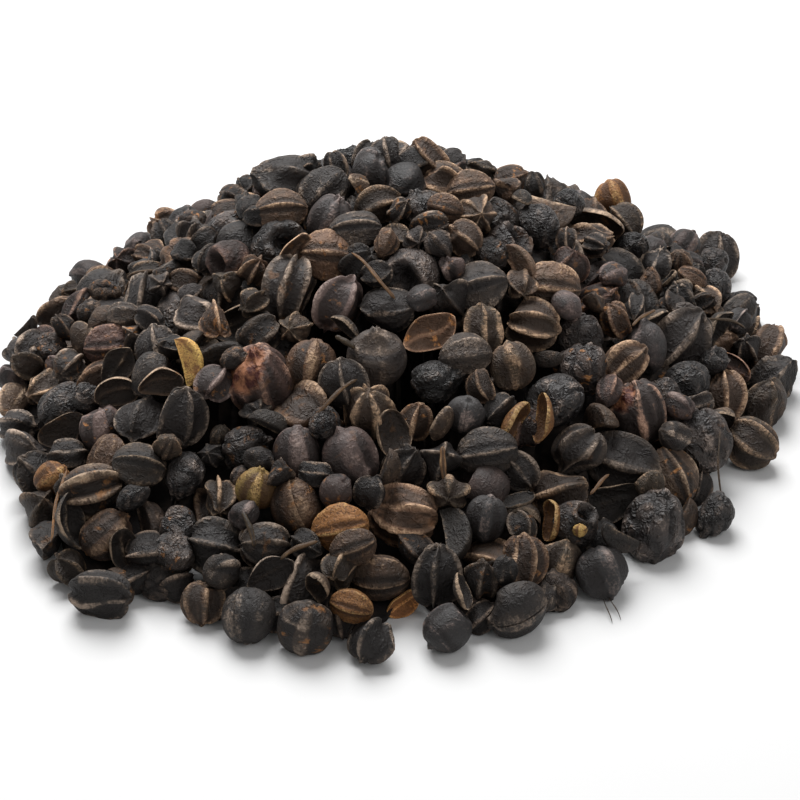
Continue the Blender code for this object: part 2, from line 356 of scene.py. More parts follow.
# What the nearest berries to these places are.
NEARLY_PLACED = (
    Chosen(-9.5, -4.0, 3.6, Kind.BROWN, Look.LENS, -5, 0, -8, 1.2, 0.8),
    Chosen(-14.5, -6.0, 3.6, Kind.BROWN, Look.DISH, 55, 0, 20, 1.3, 0.7),
    Chosen(18.5, -5.5, 3.0, Kind.BROWN, Look.SEGMENT, 118, 0, 85, 1.8, 0.6),
    Chosen(12.0, -10.5, 3.6, Kind.CHARCOAL, Look.LENS, 15, 0, -20, 1.1, 0.4),
    Chosen(-7.0, -1.0, 3.6, Kind.CHARCOAL, Look.LENS, 5, 0, -30, 1.0, 0.5),
    Chosen(-23.5, -11.0, 3.7, Kind.DARK_HUSK, Look.DISH, 20, 10, 0, 1.1, 0.3),
    Chosen(-26.5, -1.0, 3.0, Kind.BURST, Look.HOLLOW, 200, 40, 0, 1.1, 0.6),
    Chosen(-39.0, 12.0, 3.2, Kind.BROWN, Look.DISH, 60, 0, 10, 1.1, 0.8),
    Chosen(-41.5, -6.0, 3.2, Kind.BURST, Look.LENS, 5, 0, 10, 1.1, 1.0),
    Chosen(-41.5, -13.5, 3.6, Kind.DARK_HUSK, Look.DISH, 55, 5, 5, 1.0, 0.4),
    Chosen(-41.0, -18.5, 3.4, Kind.DARK_HUSK, Look.DISH, 12, 0, 25, 1.0, 0.6),
    Chosen(-34.0, -21.0, 3.0, Kind.DARK_HUSK, Look.DISH, 10, 0, 35, 1.3, 1.0),
    Chosen(-50.0, -23.5, 3.2, Kind.DARK_HUSK, Look.DISH, 30, 0, 10, 1.0, 0.7),
    Chosen(-43.5, -35.0, 3.8, Kind.DARK_HUSK, Look.SUNKEN, 15, 0, 20, 1.2, 0.8, 5),
    Chosen(-49.5, -31.5, 2.8, Kind.TAN_HUSK, Look.SMOOTH, 40, 0, 0, 0.75, 0.9),
    Chosen(-41.0, -42.5, 3.5, Kind.BROWN, Look.LOBED, 45, 0, 20, 0.75, 0.9, 3),
    Chosen(-35.0, -39.5, 2.9, Kind.CRUMB, Look.SEGMENT, 100, 0, 60, 1.5, 0.6),
    Chosen(-35.5, -45.5, 2.4, Kind.BURST, Look.SUNKEN, 110, 50, 0, 1.3, 1.0, 4),
    Chosen(-31.0, -46.0, 3.4, Kind.RAISIN, Look.WRINKLED, 150, 0, 0, 1.1, 0.9),
    Chosen(-14.0, -42.5, 3.6, Kind.BROWN, Look.LOBED, 110, 0, 0, 0.75, 1.0, 2),
    Chosen(2.5, -35.5, 3.3, Kind.CHARCOAL, Look.SUNKEN, 60, 40, 0, 1.0, 0.4, 5),
    Chosen(11.5, -36.0, 3.5, Kind.CHARCOAL, Look.LENS, 10, 0, 0, 1.1, 0.4),
    Chosen(17.0, -36.5, 3.2, Kind.CHARCOAL, Look.RIBBED, 130, 0, 0, 1.0, 0.6, 5),
    Chosen(12.5, -44.5, 3.5, Kind.PLUM, Look.SMOOTH, 80, 20, 0, 1.1, 0.1),
    Chosen(17.0, -50.0, 3.0, Kind.BROWN, Look.RIBBED, 88, 0, 30, 1.0, 0.9, 6),
    Chosen(23.0, -49.0, 3.1, Kind.BROWN, Look.LOBED, 60, 30, 20, 1.2, 0.2, 2),
    Chosen(25.0, -43.0, 3.0, Kind.RAISIN, Look.HOLLOW, 60, 40, 0, 0.8, 0.8),
    Chosen(21.0, -43.5, 2.6, Kind.TAN_HUSK, Look.DISH, 85, 0, -72, 0.62, 0.9),
    Chosen(11.5, -51.5, 3.2, Kind.CHARCOAL, Look.SUNKEN, 80, 40, 0, 0.9, 0.8, 5),
    Chosen(31.5, -36.0, 3.4, Kind.DARK_HUSK, Look.DISH, 15, 0, 10, 0.8, 0.3),
    Chosen(39.5, -28.5, 3.2, Kind.DARK_HUSK, Look.LENS, 115, 0, 20, 1.2, 0.9),
    Chosen(-2.5, -52.5, 3.4, Kind.BROWN, Look.LENS, 0, 0, 25, 0.7, 0.6),
    Chosen(-15.5, -54.0, 3.4, Kind.CHARCOAL, Look.DISH, 30, 0, 10, 1.0, 0.6),
    Chosen(50.0, -1.0, 3.4, Kind.BURST, Look.DISH, -25, 0, 20, 1.0, 0.9),
    Chosen(-12.5, -23.5, 3.1, Kind.BROWN, Look.LOBED, 80, 0, 0, 0.9, 0.9, 2),
    Chosen(-0.5, -34.0, 2.9, Kind.DARK_HUSK, Look.DISH, 100, 0, 20, 1.2, 0.7),
    Chosen(-7.5, -29.5, 3.4, Kind.CHARCOAL, Look.SUNKEN, 100, 10, 0, 1.0, 0.5, 4),
    Chosen(-45.0, -42.5, 3.0, Kind.DARK_HUSK, Look.DISH, 105, 0, 60, 0.9, 0.2),
    Chosen(-6.0, -51.5, 2.8, Kind.BROWN, Look.LENS, 20, 0, 10, 0.7, 0.7),
    Chosen(6.0, -25.5, 3.0, Kind.RAISIN, Look.WRINKLED, 20, 0, 0, 0.6, 0.3),
    Chosen(15.0, -22.0, 3.1, Kind.BROWN, Look.LOBED, 100, 0, 0, 1.2, 0.4, 2),
    Chosen(15.5, -0.5, 3.7, Kind.RAISIN, Look.HOLLOW, 40, 30, 0, 1.1, 0.7),
    Chosen(10.0, -5.0, 3.3, Kind.BROWN, Look.SUNKEN, 140, 0, 0, 1.1, 0.6, 4),
    Chosen(-10.0, 3.5, 3.2, Kind.PLUM, Look.SMOOTH, 60, 20, 0, 1.1, 0.4),
    Chosen(9.5, 9.0, 3.2, Kind.BROWN, Look.LENS, 10, 0, 0, 1.2, 0.6),
    Chosen(-26.2, -24.9, 2.7, Kind.PLUM, Look.SUNKEN, 235, 20, 0, 1.2, 0.8, 4),
    Chosen(-18.4, 5.5, 3.5, Kind.BROWN, Look.LENS, 5, 0, -20, 1.1, 0.6),
    Chosen(26.8, -11.0, 3.3, Kind.RAISIN, Look.WRINKLED, 100, 20, 0, 1.3, 0.5),
)
# Bits that are tucked in between the berries.
TUCKED_IN = (
    Chosen(25.6, -46.3, 0.95, Kind.TAN_HUSK, Look.SMOOTH, 90, 30, 0, 1.5, 0.3, height=9.0),
    Chosen(-1.6, 15.4, 2.7, Kind.CHARCOAL, Look.SUNKEN, 100, -10, 0, 1.0, 0.5, 4, height=33.6),
    Chosen(4.6, 14.8, 2.9, Kind.BROWN, Look.RIBBED, 130, 0, 0, 1.1, 0.7, 5, height=33.2),
    Chosen(17.2, -32.0, 2.9, Kind.TAN_HUSK, Look.DISH, 64, 5, 72, 0.54, 1.0, height=16.9),
    Chosen(20.4, -31.0, 3.0, Kind.TAN_HUSK, Look.DISH, 80, 5, -72, 0.60, 0.9, height=17.4),
    Chosen(-36.6, -48.8, 2.6, Kind.CRUMB, Look.SUNKEN, 30, 20, 0, 0.8, 0.3, height=2.4),
    Chosen(-33.4, -49.4, 2.6, Kind.CRUMB, Look.WRINKLED, 150, 0, 0, 0.9, 0.5, height=2.4),
    Chosen(-30.6, -50.0, 2.5, Kind.CRUMB, Look.SUNKEN, 200, 10, 30, 0.8, 0.5, height=2.3),
    Chosen(-38.4, -50.4, 2.1, Kind.DARK_HUSK, Look.SEGMENT, 112, 0, 60, 1.1, 0.9, height=2.2),
    Chosen(-38.0, -46.2, 2.8, Kind.DARK_HUSK, Look.DISH, 100, 10, 30, 0.8, 0.5, height=5.4),
    Chosen(-34.6, -46.6, 3.0, Kind.CRUMB, Look.SUNKEN, 10, 0, 0, 0.8, 0.3, height=5.2),
    Chosen(-31.5, -47.2, 2.9, Kind.RAISIN, Look.WRINKLED, 160, 0, 0, 1.1, 0.9, height=5.4),
    Chosen(-23.4, -54.4, 2.3, Kind.CRUMB, Look.SUNKEN, 60, 0, 0, 0.8, 0.6, height=2.2),
    Chosen(-16.6, -56.4, 2.5, Kind.CRUMB, Look.RIBBED, 20, 0, 0, 0.8, 0.3, height=2.4),
    Chosen(-8.0, -58.0, 2.3, Kind.CRUMB, Look.SUNKEN, 100, 0, 0, 0.7, 0.7, height=2.2),
    Chosen(11.6, -57.0, 2.2, Kind.CRUMB, Look.SUNKEN, 45, 0, 0, 0.7, 0.6, height=2.1),
    Chosen(22.6, -51.6, 2.4, Kind.CRUMB, Look.WRINKLED, 100, 0, 0, 0.8, 0.6, height=2.3),
    Chosen(41.5, -35.0, 2.3, Kind.DARK_HUSK, Look.SEGMENT, 60, 0, 40, 0.9, 1.0, height=2.2),
    Chosen(44.2, -27.4, 2.4, Kind.CRUMB, Look.SUNKEN, 70, 0, 0, 0.8, 0.5, height=2.3),
)
# Places that are left free: bays of the rim, and small bits that would hide a chosen berry.
# Each is x, y and radius in millimetres.
BAYS = (
    (-17.7, -27.3, 0.5),
    (4.6, -45.4, 0.5),
    (40.3, 33.0, 5.6),
    (54.5, 24.6, 2.2),
    (50.0, -27.6, 4.5),
)
LEFT_FREE = 1.0  # the depth that stands for a ball that is left out


@dataclass(frozen=True)
class Ball:
    """One place of the heap, in metres, and the pour it came with, or the thing chosen for it."""

    middle: tuple[float, float, float]
    radius: float
    depth: float
    pour: int
    chosen: Chosen | None = None


@dataclass
class Pour:
    """Pours the heap, ball by ball."""

    outline: Outline = field(default_factory=Outline)
    seed: int = 7
    stand_out: float = 0.0004
    spare: float = 0.0012
    sizes: tuple[float, ...] = (1.05, 0.85, 0.68)
    patience: int = 700
    sink: float = 0.0003
    furthest_off: float = 0.001

    def __post_init__(self) -> None:
        """Starts with a bare table."""
        self.rng = random.Random(self.seed)
        self.pile = Pile()

    def some_radius(self) -> float:
        """A berry's radius: most are near the common one, some are dwarfs and a few are giants."""
        rng = self.rng
        radius = self.outline.berry_radius
        radius *= 1 + 0.18 * (rng.random() + rng.random() + rng.random() - 1.5)
        if rng.random() < 0.13:
            radius *= 0.76
        if rng.random() < 0.06:
            radius *= 1.14
        return round(radius, 6)

    def lay_rim(self) -> None:
        """Lays a nearly closed ring of berries on the table, along the rim."""
        bearing = -180.0
        while bearing < 180:
            radius = self.some_radius()
            reach = self.outline.rim(bearing) - 0.0016 * self.rng.random()
            x = reach * math.cos(math.radians(bearing))
            y = reach * math.sin(math.radians(bearing))
            if self.pile.roll(x, y, radius, furthest=0.0)[2] > radius:
                bearing += 0.5
                continue
            if self.rng.random() < 0.88:
                self.pile.add(x, y, radius, radius)
            bearing += math.degrees(1.9 * radius / reach)

    def pour(self, share: float) -> None:
        """Pours berries until no more will stay.

        Args:
            share: Their size as a share of the common one.
        """
        misses = 0
        while misses < self.patience:
            radius = round(share * self.some_radius(), 6)
            bearing = 360 * self.rng.random() - 180
            reach = math.sqrt(self.rng.random()) * self.outline.rim(bearing)
            x = round(reach * math.cos(math.radians(bearing)), 7)
            y = round(reach * math.sin(math.radians(bearing)), 7)
            x, y, z = self.pile.roll(x, y, radius, furthest=2 * radius)
            high = z + radius > self.outline.surface(x, y) + self.spare
            if high or self.outline.way(x, y) > 1:
                misses += 1
                continue
            misses = 0
            self.pile.add(x, y, z, radius)

    def lay_chosen(self) -> None:
        """Lays the berries with places of their own, along the rim and on the slope."""
        for one in RIM_BERRIES + SLOPE_BERRIES:
            x, y, radius = one.x / 1000, one.y / 1000, one.radius / 1000
            top = self.outline.surface(x, y) + self.stand_out if one in SLOPE_BERRIES else 0.0
            self.pile.add(x, y, max(top - radius, radius), radius)

    def owners(self, rows: np.ndarray, depths: np.ndarray) -> dict[int, Chosen]:
        """Finds the ball of each chosen thing.

        Args:
            rows: The balls.
            depths: How deep under the surface their tops lie.

        Returns:
            The things by the number of their ball.
        """
        owners = dict(enumerate(RIM_BERRIES + SLOPE_BERRIES))
        for one in NEARLY_PLACED:
            away = np.hypot(rows[:, 0] - one.x / 1000, rows[:, 1] - one.y / 1000)
            away += 2 * np.maximum(depths - 0.0012, 0) + 0.4 * np.abs(rows[:, 3] - one.radius / 1000)
            away[list(owners)] = 1
            owners[int(away.argmin())] = one
        return owners

    def shift(self, rows: np.ndarray) -> tuple[float, float]:
        """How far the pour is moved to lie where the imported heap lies.

        Args:
            rows: The balls.

        Returns:
            The way along X and Y.
        """
        low = (rows[:, :2] - rows[:, 3:]).min(axis=0)
        high = (rows[:, :2] + rows[:, 3:]).max(axis=0)
        packed_low, packed_high = (np.array(corner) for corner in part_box(HEAP_NODE))
        x, y = (packed_low[:2] + packed_high[:2] - low - high) / 2
        return float(x), float(y)

    def place(self, index: int, row: list[float], own: Chosen | None) -> tuple[float, float, float]:
        """Moves a ball a little towards where its thing is wanted.

        Args:
            index: The ball's number.
            row: Its x, y, z and radius.
            own: The thing chosen for it.

        Returns:
            Its x, y and radius.
        """
        x, y, _, radius = row
        if own and index >= len(RIM_BERRIES + SLOPE_BERRIES):
            radius = min(max(own.radius / 1000, 0.85 * radius), 1.3 * radius)
            x += min(max(own.x / 1000 - x, -self.furthest_off), self.furthest_off)
            y += min(max(own.y / 1000 - y, -self.furthest_off), self.furthest_off)
        return x, y, radius

    def balls(self) -> list[Ball]:
        """Pours the whole heap.

        Returns:
            Its balls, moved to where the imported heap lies.
        """
        self.lay_chosen()
        self.lay_rim()
        starts = []
        for share in self.sizes:
            starts.append(self.pile.count)
            self.pour(share)
        rows = self.pile.balls
        shift_x, shift_y = self.shift(rows)
        depths = np.array([self.outline.surface(x, y) for x, y in rows[:, :2]]) - rows[:, 2] - rows[:, 3]
        owners = self.owners(rows, depths)
        placed = []
        for index, row in enumerate(rows.tolist()):
            pour = sum(index >= start for start in starts)
            own = owners.get(index)
            x, y, z, _ = row
            free = not own and any(math.hypot(1000 * x - a, 1000 * y - b) < wide for a, b, wide in BAYS)
            depth = LEFT_FREE if free else float(depths[index])
            x, y, radius = self.place(index, row, own)
            placed.append(Ball((x + shift_x, y + shift_y, z - self.sink), radius, depth, pour, own))
        for one in TUCKED_IN:
            x, y, z = (MILLIMETRE * place for place in (one.x, one.y, one.height))
            middle = (x + shift_x, y + shift_y, z)
            placed.append(Ball(middle, MILLIMETRE * one.radius, 0.0, 1, one))
        return placed


# ---------------------------------------------------------------- the shapes


def waves(points: np.ndarray, rng: random.Random, pace: float, count: int = 7) -> np.ndarray:
    """Smooth noise about 0 made of waves in all directions.

    Args:
        points: Rows of x, y and z.
        rng: Where the waves' directions come from.
        pace: How fast they rise and fall, in radians per unit.
        count: How many waves are added.

    Returns:
        A value for each point, mostly from -1 to 1.
    """
    total = np.zeros(len(points))
    for _ in range(count):
        way = np.array([rng.gauss(0, 1) for _ in range(3)])
        way *= pace * rng.uniform(0.7, 1.35) / np.linalg.norm(way)
        total += np.sin(points @ way + rng.uniform(0, TURN))
    return total / math.sqrt(count)


def apart(bearing: np.ndarray, other: float) -> np.ndarray:
    """The angle between bearings, from 0 to half a turn."""
    return np.abs((bearing - other + math.pi) % TURN - math.pi)


def bump(distance: np.ndarray, width: float) -> np.ndarray:
    """A round bump, 1 where distance is 0."""
    return np.exp(-((distance / width) ** 2))


def band(distance: np.ndarray, width: float) -> np.ndarray:
    """A flat-topped bump, 1 where distance is 0."""
    return np.exp(-((distance / width) ** 4))


def step_up(value: np.ndarray | float, low: float, high: float) -> np.ndarray:
    """A soft step from 0 below low to 1 above high."""
    share = np.clip((value - low) / (high - low), 0, 1)
    return share * share * (3 - 2 * share)


@dataclass
class Skin:
    """What the shaping of one thing fills in, vertex by vertex."""

    points: np.ndarray
    relief: np.ndarray
    flesh: np.ndarray


@dataclass(frozen=True)
class Form:
    """The shape of one berry, in units of its own half width.

    The tip is at the top and the stalk's scar at the bottom. Ribs run from one to the other.
    """

    length: float = 1.1
    blunt: float = 0.85
    taper: float = 0.0
    squash: float = 0.95
    bend: float = 0.0
    ribs: tuple[float, ...] = ()
    rib_height: float = 0.07
    rib_width: float = 0.12
    furrow: float = 0.05
    panel: float = 0.02
    wrinkle: float = 0.02
    wrinkle_pace: float = 5.0
    fold: float = 0.02
    dents: int = 2
    dent_depth: float = 0.10
    facets: int = 0
    collar: float = 0.0
    wear: float = 1.0
    tip: float = 0.13
    crown: float = 0.0
    scar: float = 0.10
    stub: float = 0.0
    hole: float = 0.0
    split: float = 0.0


@dataclass
class Clay:
    """A berry while it is shaped: a ball, how far each of its vertices is swollen, and its looks."""

    form: Form
    rng: random.Random
    polar: np.ndarray
    bearing: np.ndarray

    def __post_init__(self) -> None:
        """Makes the ball's ends blunt or pointed."""
        self.up = np.cos(self.polar)
        self.side = np.sin(self.polar) ** self.form.blunt * (1 - self.form.taper * self.up)
        across = [self.side * np.cos(self.bearing), self.side * np.sin(self.bearing)]
        self.ball = np.stack([*across, self.up], 1)
        self.swell, self.relief, self.flesh = np.zeros((3, len(self.up)))

    def waves(self, pace: float, count: int) -> np.ndarray:
        """Smooth noise all over the ball."""
        return waves(self.ball, self.rng, pace, count)

    def any_way(self) -> np.ndarray:
        """A direction, all being as likely."""
        way = np.array([self.rng.gauss(0, 1) for _ in range(3)])
        return way / np.linalg.norm(way)

    def away_from(self, x: float, y: float, z: float) -> np.ndarray:
        """The angle between each vertex and the middle of an opening."""
        way = Vector((x, y, z)).normalized()
        return np.arccos(np.clip(self.ball @ np.array(way), -1, 1))

    def raise_ribs(self) -> None:
        """Raises the ribs, each between two furrows, and lets the skin sag between them."""
        form = self.form
        fade = np.sin(self.polar) ** 0.55
        nearest = np.full(len(self.up), math.pi)
        for rib in form.ribs:
            wander = 0.05 * np.sin(2.2 * self.up + self.rng.uniform(0, TURN))
            away = apart(self.bearing - rib + wander, 0.0)
            nearest = np.minimum(nearest, away)
            strength = self.rng.uniform(0.7, 1.2)
            crest = band(away, 1.15 * form.rib_width) * fade * strength
            trench = bump(away - 2.5 * form.rib_width, 1.3 * form.rib_width) * fade * strength
            edges = bump(away - 1.1 * form.rib_width, 0.05) * fade * strength
            self.swell += form.rib_height * crest - form.furrow * trench
            self.relief += 0.75 * crest + 0.55 * edges - 0.75 * trench
        if form.ribs:
            middle = np.clip(nearest / (math.pi / len(form.ribs)), 0, 1)
            sag = np.sin(0.5 * math.pi * middle) ** 2 * fade
            self.swell += form.panel * sag
            self.relief += 2.4 * min(0.0, form.panel) * sag

    def press_dents(self) -> None:
        """Presses wide dents into it."""
        for _ in range(self.form.dents):
            way = self.any_way()
            length = np.maximum(np.linalg.norm(self.ball, axis=1), 1e-6)
            away = np.arccos(np.clip(self.ball @ way / length, -1, 1))
            dent = bump(away, self.rng.uniform(0.45, 0.8))
            self.swell -= dent * self.form.dent_depth * self.rng.uniform(0.5, 1.2)

    def crumple(self) -> None:
        """Creases the skin with wrinkles, stronger in some places, and folds the whole berry."""
        form = self.form
        if form.wrinkle > 0:
            stretch = self.ball * (1.0, 1.0, 0.75)
            bend = stretch + 0.18 * np.stack([waves(stretch, self.rng, 3.0, 4) for _ in range(3)], 1)
            lines = waves(bend, self.rng, form.wrinkle_pace)
            rough = 0.5 + 0.5 * self.waves(1.6, 4)
            crease = bump(lines, 0.34) * np.clip(rough + 0.45, 0.15, 1.2)
            full = min(1.0, form.wrinkle / 0.05)
            self.swell -= form.wrinkle * crease
            self.relief -= crease * full
            self.relief += 0.35 * np.clip(np.abs(lines) - 0.5, 0, 1) * full
        if form.fold > 0:
            self.swell += form.fold * self.waves(2.2, 5)

    def put_on_collar(self) -> None:
        """Leaves a step round its top, where the flower sat."""
        if self.form.collar > 0:
            edge = 0.98 + 0.05 * self.waves(3.0, 4)
            self.swell += self.form.collar * step_up(self.polar, edge - 0.16, edge)
            below = self.polar - edge
            self.relief += 0.8 * bump(below, 0.07) - 0.6 * bump(below - 0.20, 0.13)

    def flatten(self) -> None:
        """Flattens it where it lay against others."""
        for _ in range(self.form.facets):
            lead = self.ball @ self.any_way()
            cut = self.rng.uniform(0.70, 0.88)
            most = cut / np.maximum(lead, 0.05) - 0.10 * step_up(lead, cut, 1.0) - 1
            self.relief += 0.45 * bump(self.swell - most, 0.035)
            self.swell = np.minimum(self.swell, most)

    def split_skin(self) -> None:
        """Splits the skin open on one side, down to the lumpy flesh."""
        if self.form.split > 0:
            away = self.away_from(0.25, -0.55, 0.8)
            edge = self.form.split * (1 + 0.22 * self.waves(4.0, 5))
            self.flesh = 1 - step_up(away, edge - 0.06, edge + 0.04)
            lip = bump(away - edge - 0.10, 0.09)
            lumps = self.waves(10.0, 8)
            self.swell += 0.05 * lip - self.flesh * (0.08 - 0.035 * lumps)
            self.relief += 0.6 * lip + self.flesh * lumps * 0.6

    def open_hole(self) -> None:
        """Opens a hole with a ragged lip in its top."""
        if self.form.hole > 0:
            away = self.away_from(0.1, 0.1, 1)
            edge = self.form.hole * (1 + 0.20 * self.waves(5.0, 5))
            inside = 1 - step_up(away, 0.55 * edge, edge)
            lip = bump(away - edge - 0.06, 0.10)
            self.swell += 0.05 * lip * (1 + self.waves(9.0, 5)) - 0.75 * inside
            self.relief += 0.5 * lip - 1.5 * inside

    def finish_ends(self, points: np.ndarray) -> None:
        """Gives it the tip with its five teeth, and the stalk's scar or a stub of the stalk.

        Args:
            points: Its vertices, which are moved.
        """
        form = self.form
        away = self.side / max(form.length, 0.3)
        teeth = 0.5 + 0.5 * np.cos(5 * self.bearing)
        nub = form.tip * bump(away, 0.13) - 0.05 * bump(away - 0.24, 0.09)
        nub += form.crown * bump(away - 0.17, 0.07) * teeth
        pit = -form.scar * bump(away, 0.16) + 0.04 * bump(away - 0.24, 0.08)
        pit += form.stub * bump(away, 0.09)
        top = self.up > 0
        points[:, 2] += np.where(top, nub, -pit)
        self.relief += np.where(top, 0.8 * bump(away, 0.12), 0.5 * bump(away - 0.24, 0.08))

    def skin(self) -> Skin:
        """Stretches and bends the berry and finishes its ends.

        Returns:
            The shaped vertices.
        """
        points = self.ball * (1 + self.swell)[:, None]
        points[:, 2] *= self.form.length
        points[:, 0] *= self.form.squash
        points[:, 1] += self.form.bend * points[:, 2] ** 2
        self.finish_ends(points)
        relief = np.where(self.relief > 0, self.form.wear * self.relief, self.relief)
        return Skin(points, relief, self.flesh)


class Shaper:
    """Turns a ball's vertices into a dried berry, husk or seed."""

    GATHER = 0.62  # how strongly vertices are drawn towards a berry's ribs

    def __init__(self, points: np.ndarray) -> None:
        """Reads where the ball's vertices are.

        Args:
            points: The vertices of a ball of radius 1 with its poles on Z.
        """
        self.bearing = np.arctan2(points[:, 1], points[:, 0])
        polar = np.arccos(np.clip(points[:, 2], -1, 1))
        self.polar = polar - 0.17 * np.sin(2 * polar)  # rings lie closer at the poles

    def gather(self, ribs: tuple[float, ...]) -> np.ndarray:
        """Draws the vertices towards the nearest rib, so that its crest is finely cut.

        Args:
            ribs: The ribs' bearings.

        Returns:
            The vertices' bearings.
        """
        if not ribs:
            return self.bearing
        turn = np.unwrap(np.sort(np.array(ribs)))
        count = len(turn)
        place = (self.bearing - turn[0]) % TURN / TURN * count
        place = place - self.GATHER * np.sin(TURN * place) / TURN
        stops = np.append(turn, turn[0] + TURN)
        return np.interp(place, np.arange(count + 1), stops)

    def berry(self, form: Form, rng: random.Random) -> Skin:
        """Shapes a whole berry.

        Args:
            form: Its measures.
            rng: Where its unevenness comes from.

        Returns:
            The shaped vertices.
        """
        clay = Clay(form, rng, self.polar, self.gather(form.ribs))
        clay.raise_ribs()
        clay.press_dents()
        clay.crumple()
        clay.put_on_collar()
        clay.flatten()
        clay.split_skin()
        clay.open_hole()
        return clay.skin()

    def dish(self, rng: random.Random, depth: float, ridge: float) -> Skin:
        """Shapes the half of a husk: a boat with a thin rim, hollow on its upper side.

        Args:
            rng: Where its unevenness comes from.
            depth: How deep it is, in half lengths.
            ridge: How high a ridge stands along its middle.

        Returns:
            The shaped vertices, its length along Z and its hollow towards +X.
        """
        along = np.cos(self.polar)
        side = np.sin(self.polar) ** rng.uniform(0.95, 1.35)
        lean = rng.uniform(-0.16, 0.16)
        across = side * np.sin(self.bearing) * rng.uniform(0.66, 0.8) + lean * (1 - along**2)
        front = np.cos(self.bearing)
        rim = np.clip(np.hypot(along, side * np.sin(self.bearing)), 0, 1)
        back = -side * (0.30 + depth) * np.clip(-front, 0, 1) ** 0.8
        hollow = 0.06 * bump(rim - 0.97, 0.07) - depth * (1 - rim**2) * 1.1
        hollow += ridge * bump(across - lean * (1 - along**2), 0.09) * (1 - rim**2)
        hollow += 0.04 * waves(np.stack([across, along, front], 1), rng, 7.0)
        out = np.where(front > 0, hollow * np.clip(front * 3, 0, 1), back)
        curl = rng.uniform(-0.25, 0.12) * (along**2 + 0.6 * across**2)
        points = np.stack([out - curl, across, along * 1.12], 1)
        points += 0.06 * np.stack([waves(points, rng, 4.0, 4) for _ in range(3)], 1)
        inner = np.where(front > 0, 1.0, 0.0) * step_up(1 - rim, 0.02, 0.16)
        relief = 0.95 * bump(rim - 0.99, 0.045) - 0.45 * inner
        relief += ridge * 7 * bump(across - lean * (1 - along**2), 0.07) * (1 - rim**2)
        return Skin(points, relief, np.zeros(len(points)))

    def segment(self, rng: random.Random, spread: float) -> Skin:
        """Shapes a slice of a fruit: a curved back and two nearly flat faces that meet in an edge.

        Args:
            rng: Where its unevenness comes from.
            spread: Half the angle between its faces, in radians.

        Returns:
            The shaped vertices, its edge near the Z axis and its back towards +X.
        """
        middle = 0.58
        ways = np.stack([np.cos(self.bearing), np.sin(self.bearing)], 1)
        normals = np.array([(-math.sin(spread), math.cos(spread)), (-math.sin(spread), -math.cos(spread))])
        gap = middle * math.sin(spread)
        faces = gap / np.maximum(ways @ normals.T, 0.12)
        lead = ways[:, 0] * middle
        arc = -lead + np.sqrt(np.maximum(lead**2 + 1 - middle**2, 0))
        reach = np.stack([faces[:, 0], faces[:, 1], arc], 1)
        reach = (reach**-7.0).sum(axis=1) ** (-1 / 7.0)
        side = np.sin(self.polar) ** 0.8
        up = np.cos(self.polar)
        x = side * (middle + reach * ways[:, 0]) - 0.45
        y = side * reach * ways[:, 1]
        edge = bump(reach - arc, 0.05) * bump(reach - faces.min(axis=1), 0.08)
        edge = np.clip(edge * 2, 0, 1) * side
        points = np.stack([x, y, 1.05 * up], 1)
        sunk = (1 - bump(reach - arc, 0.12)) * side
        points[:, 1] -= np.sign(points[:, 1]) * 0.05 * sunk
        crease = bump(waves(points, rng, 6.5), 0.3)
        points *= (1 + 0.03 * waves(points, rng, 4.0) - 0.045 * crease)[:, None]
        points += ways[:, :1] * np.array([[0.04, 0, 0]]) * edge[:, None]
        sharp = bump(self.bearing - math.pi, 0.25) + bump(self.bearing + math.pi, 0.25)
        relief = 1.2 * edge + 1.2 * sharp * side - 0.25 * sunk - 0.35 * crease
        return Skin(points, relief, np.zeros(len(points)))

    def lens(self, rng: random.Random) -> Skin:
        """Shapes a closed husk: two faces that meet in a keel on one side, ribbed on the other.

        Args:
            rng: Where its unevenness comes from.

        Returns:
            The shaped vertices, its length along Z and its keel towards +X.
        """
        up = np.cos(self.polar)
        side = np.sin(self.polar) ** 1.05
        away = apart(self.bearing, 0.0)
        keel = bump(away, 0.10)
        groove = bump(away - 0.26, 0.13)
        rims = bump(away - 1.35, 0.12) + 0.8 * bump(away - 2.25, 0.11) + 0.9 * bump(away - math.pi, 0.11)
        swell = 1 + 0.18 * keel - 0.12 * groove + 0.11 * rims
        sunk = 0.14 * bump(away - 0.8, 0.38) + 0.10 * bump(away - 1.8, 0.30)
        swell -= sunk + 0.10 * bump(away - 2.7, 0.30)
        swell += 0.05 * waves(np.stack([np.cos(away), np.sin(away), up], 1), rng, 3.0, 5)
        x = 0.80 * side * swell * np.cos(self.bearing)
        y = side * swell * np.sin(self.bearing)
        points = np.stack([x, y, up * 1.25], 1)
        crease = bump(waves(points, rng, 7.0), 0.3)
        points *= (1 + 0.02 * waves(points, rng, 4.0) - 0.03 * crease)[:, None]
        relief = (1.1 * keel + 0.8 * rims - 0.8 * groove) * np.sin(self.polar) ** 0.4 - 0.3 * crease
        relief += bump(side, 0.15) * 0.6
        return Skin(points, relief, np.zeros(len(points)))


# ---------------------------------------------------------------- the things of the heap


def in_scene(name: str, data: bpy.types.Mesh) -> bpy.types.Object:
    """An object with a mesh, put into the scene."""
    thing = bpy.data.objects.new(name, data)
    bpy.context.scene.collection.objects.link(thing)
    return thing


def round_mesh(segments: int, rings: int) -> bmesh.types.BMesh:
    """A smooth ball of radius 1 with its own map.

    Args:
        segments: How many faces go round it.
        rings: How many lie from pole to pole.

    Returns:
        The ball.
    """
    mesh = bmesh.new()
    mesh.loops.layers.uv.new(BAKE_MAP)
    bmesh.ops.create_uvsphere(mesh, u_segments=segments, v_segments=rings, radius=1, calc_uvs=True)
    for face in mesh.faces:
        face.smooth = True
    return mesh


def into_data(mesh: bmesh.types.BMesh, name: str) -> bpy.types.Mesh:
    """Turns what was being modelled into an object's mesh."""
    data = bpy.data.meshes.new(name)
    mesh.to_mesh(data)
    mesh.free()
    return data


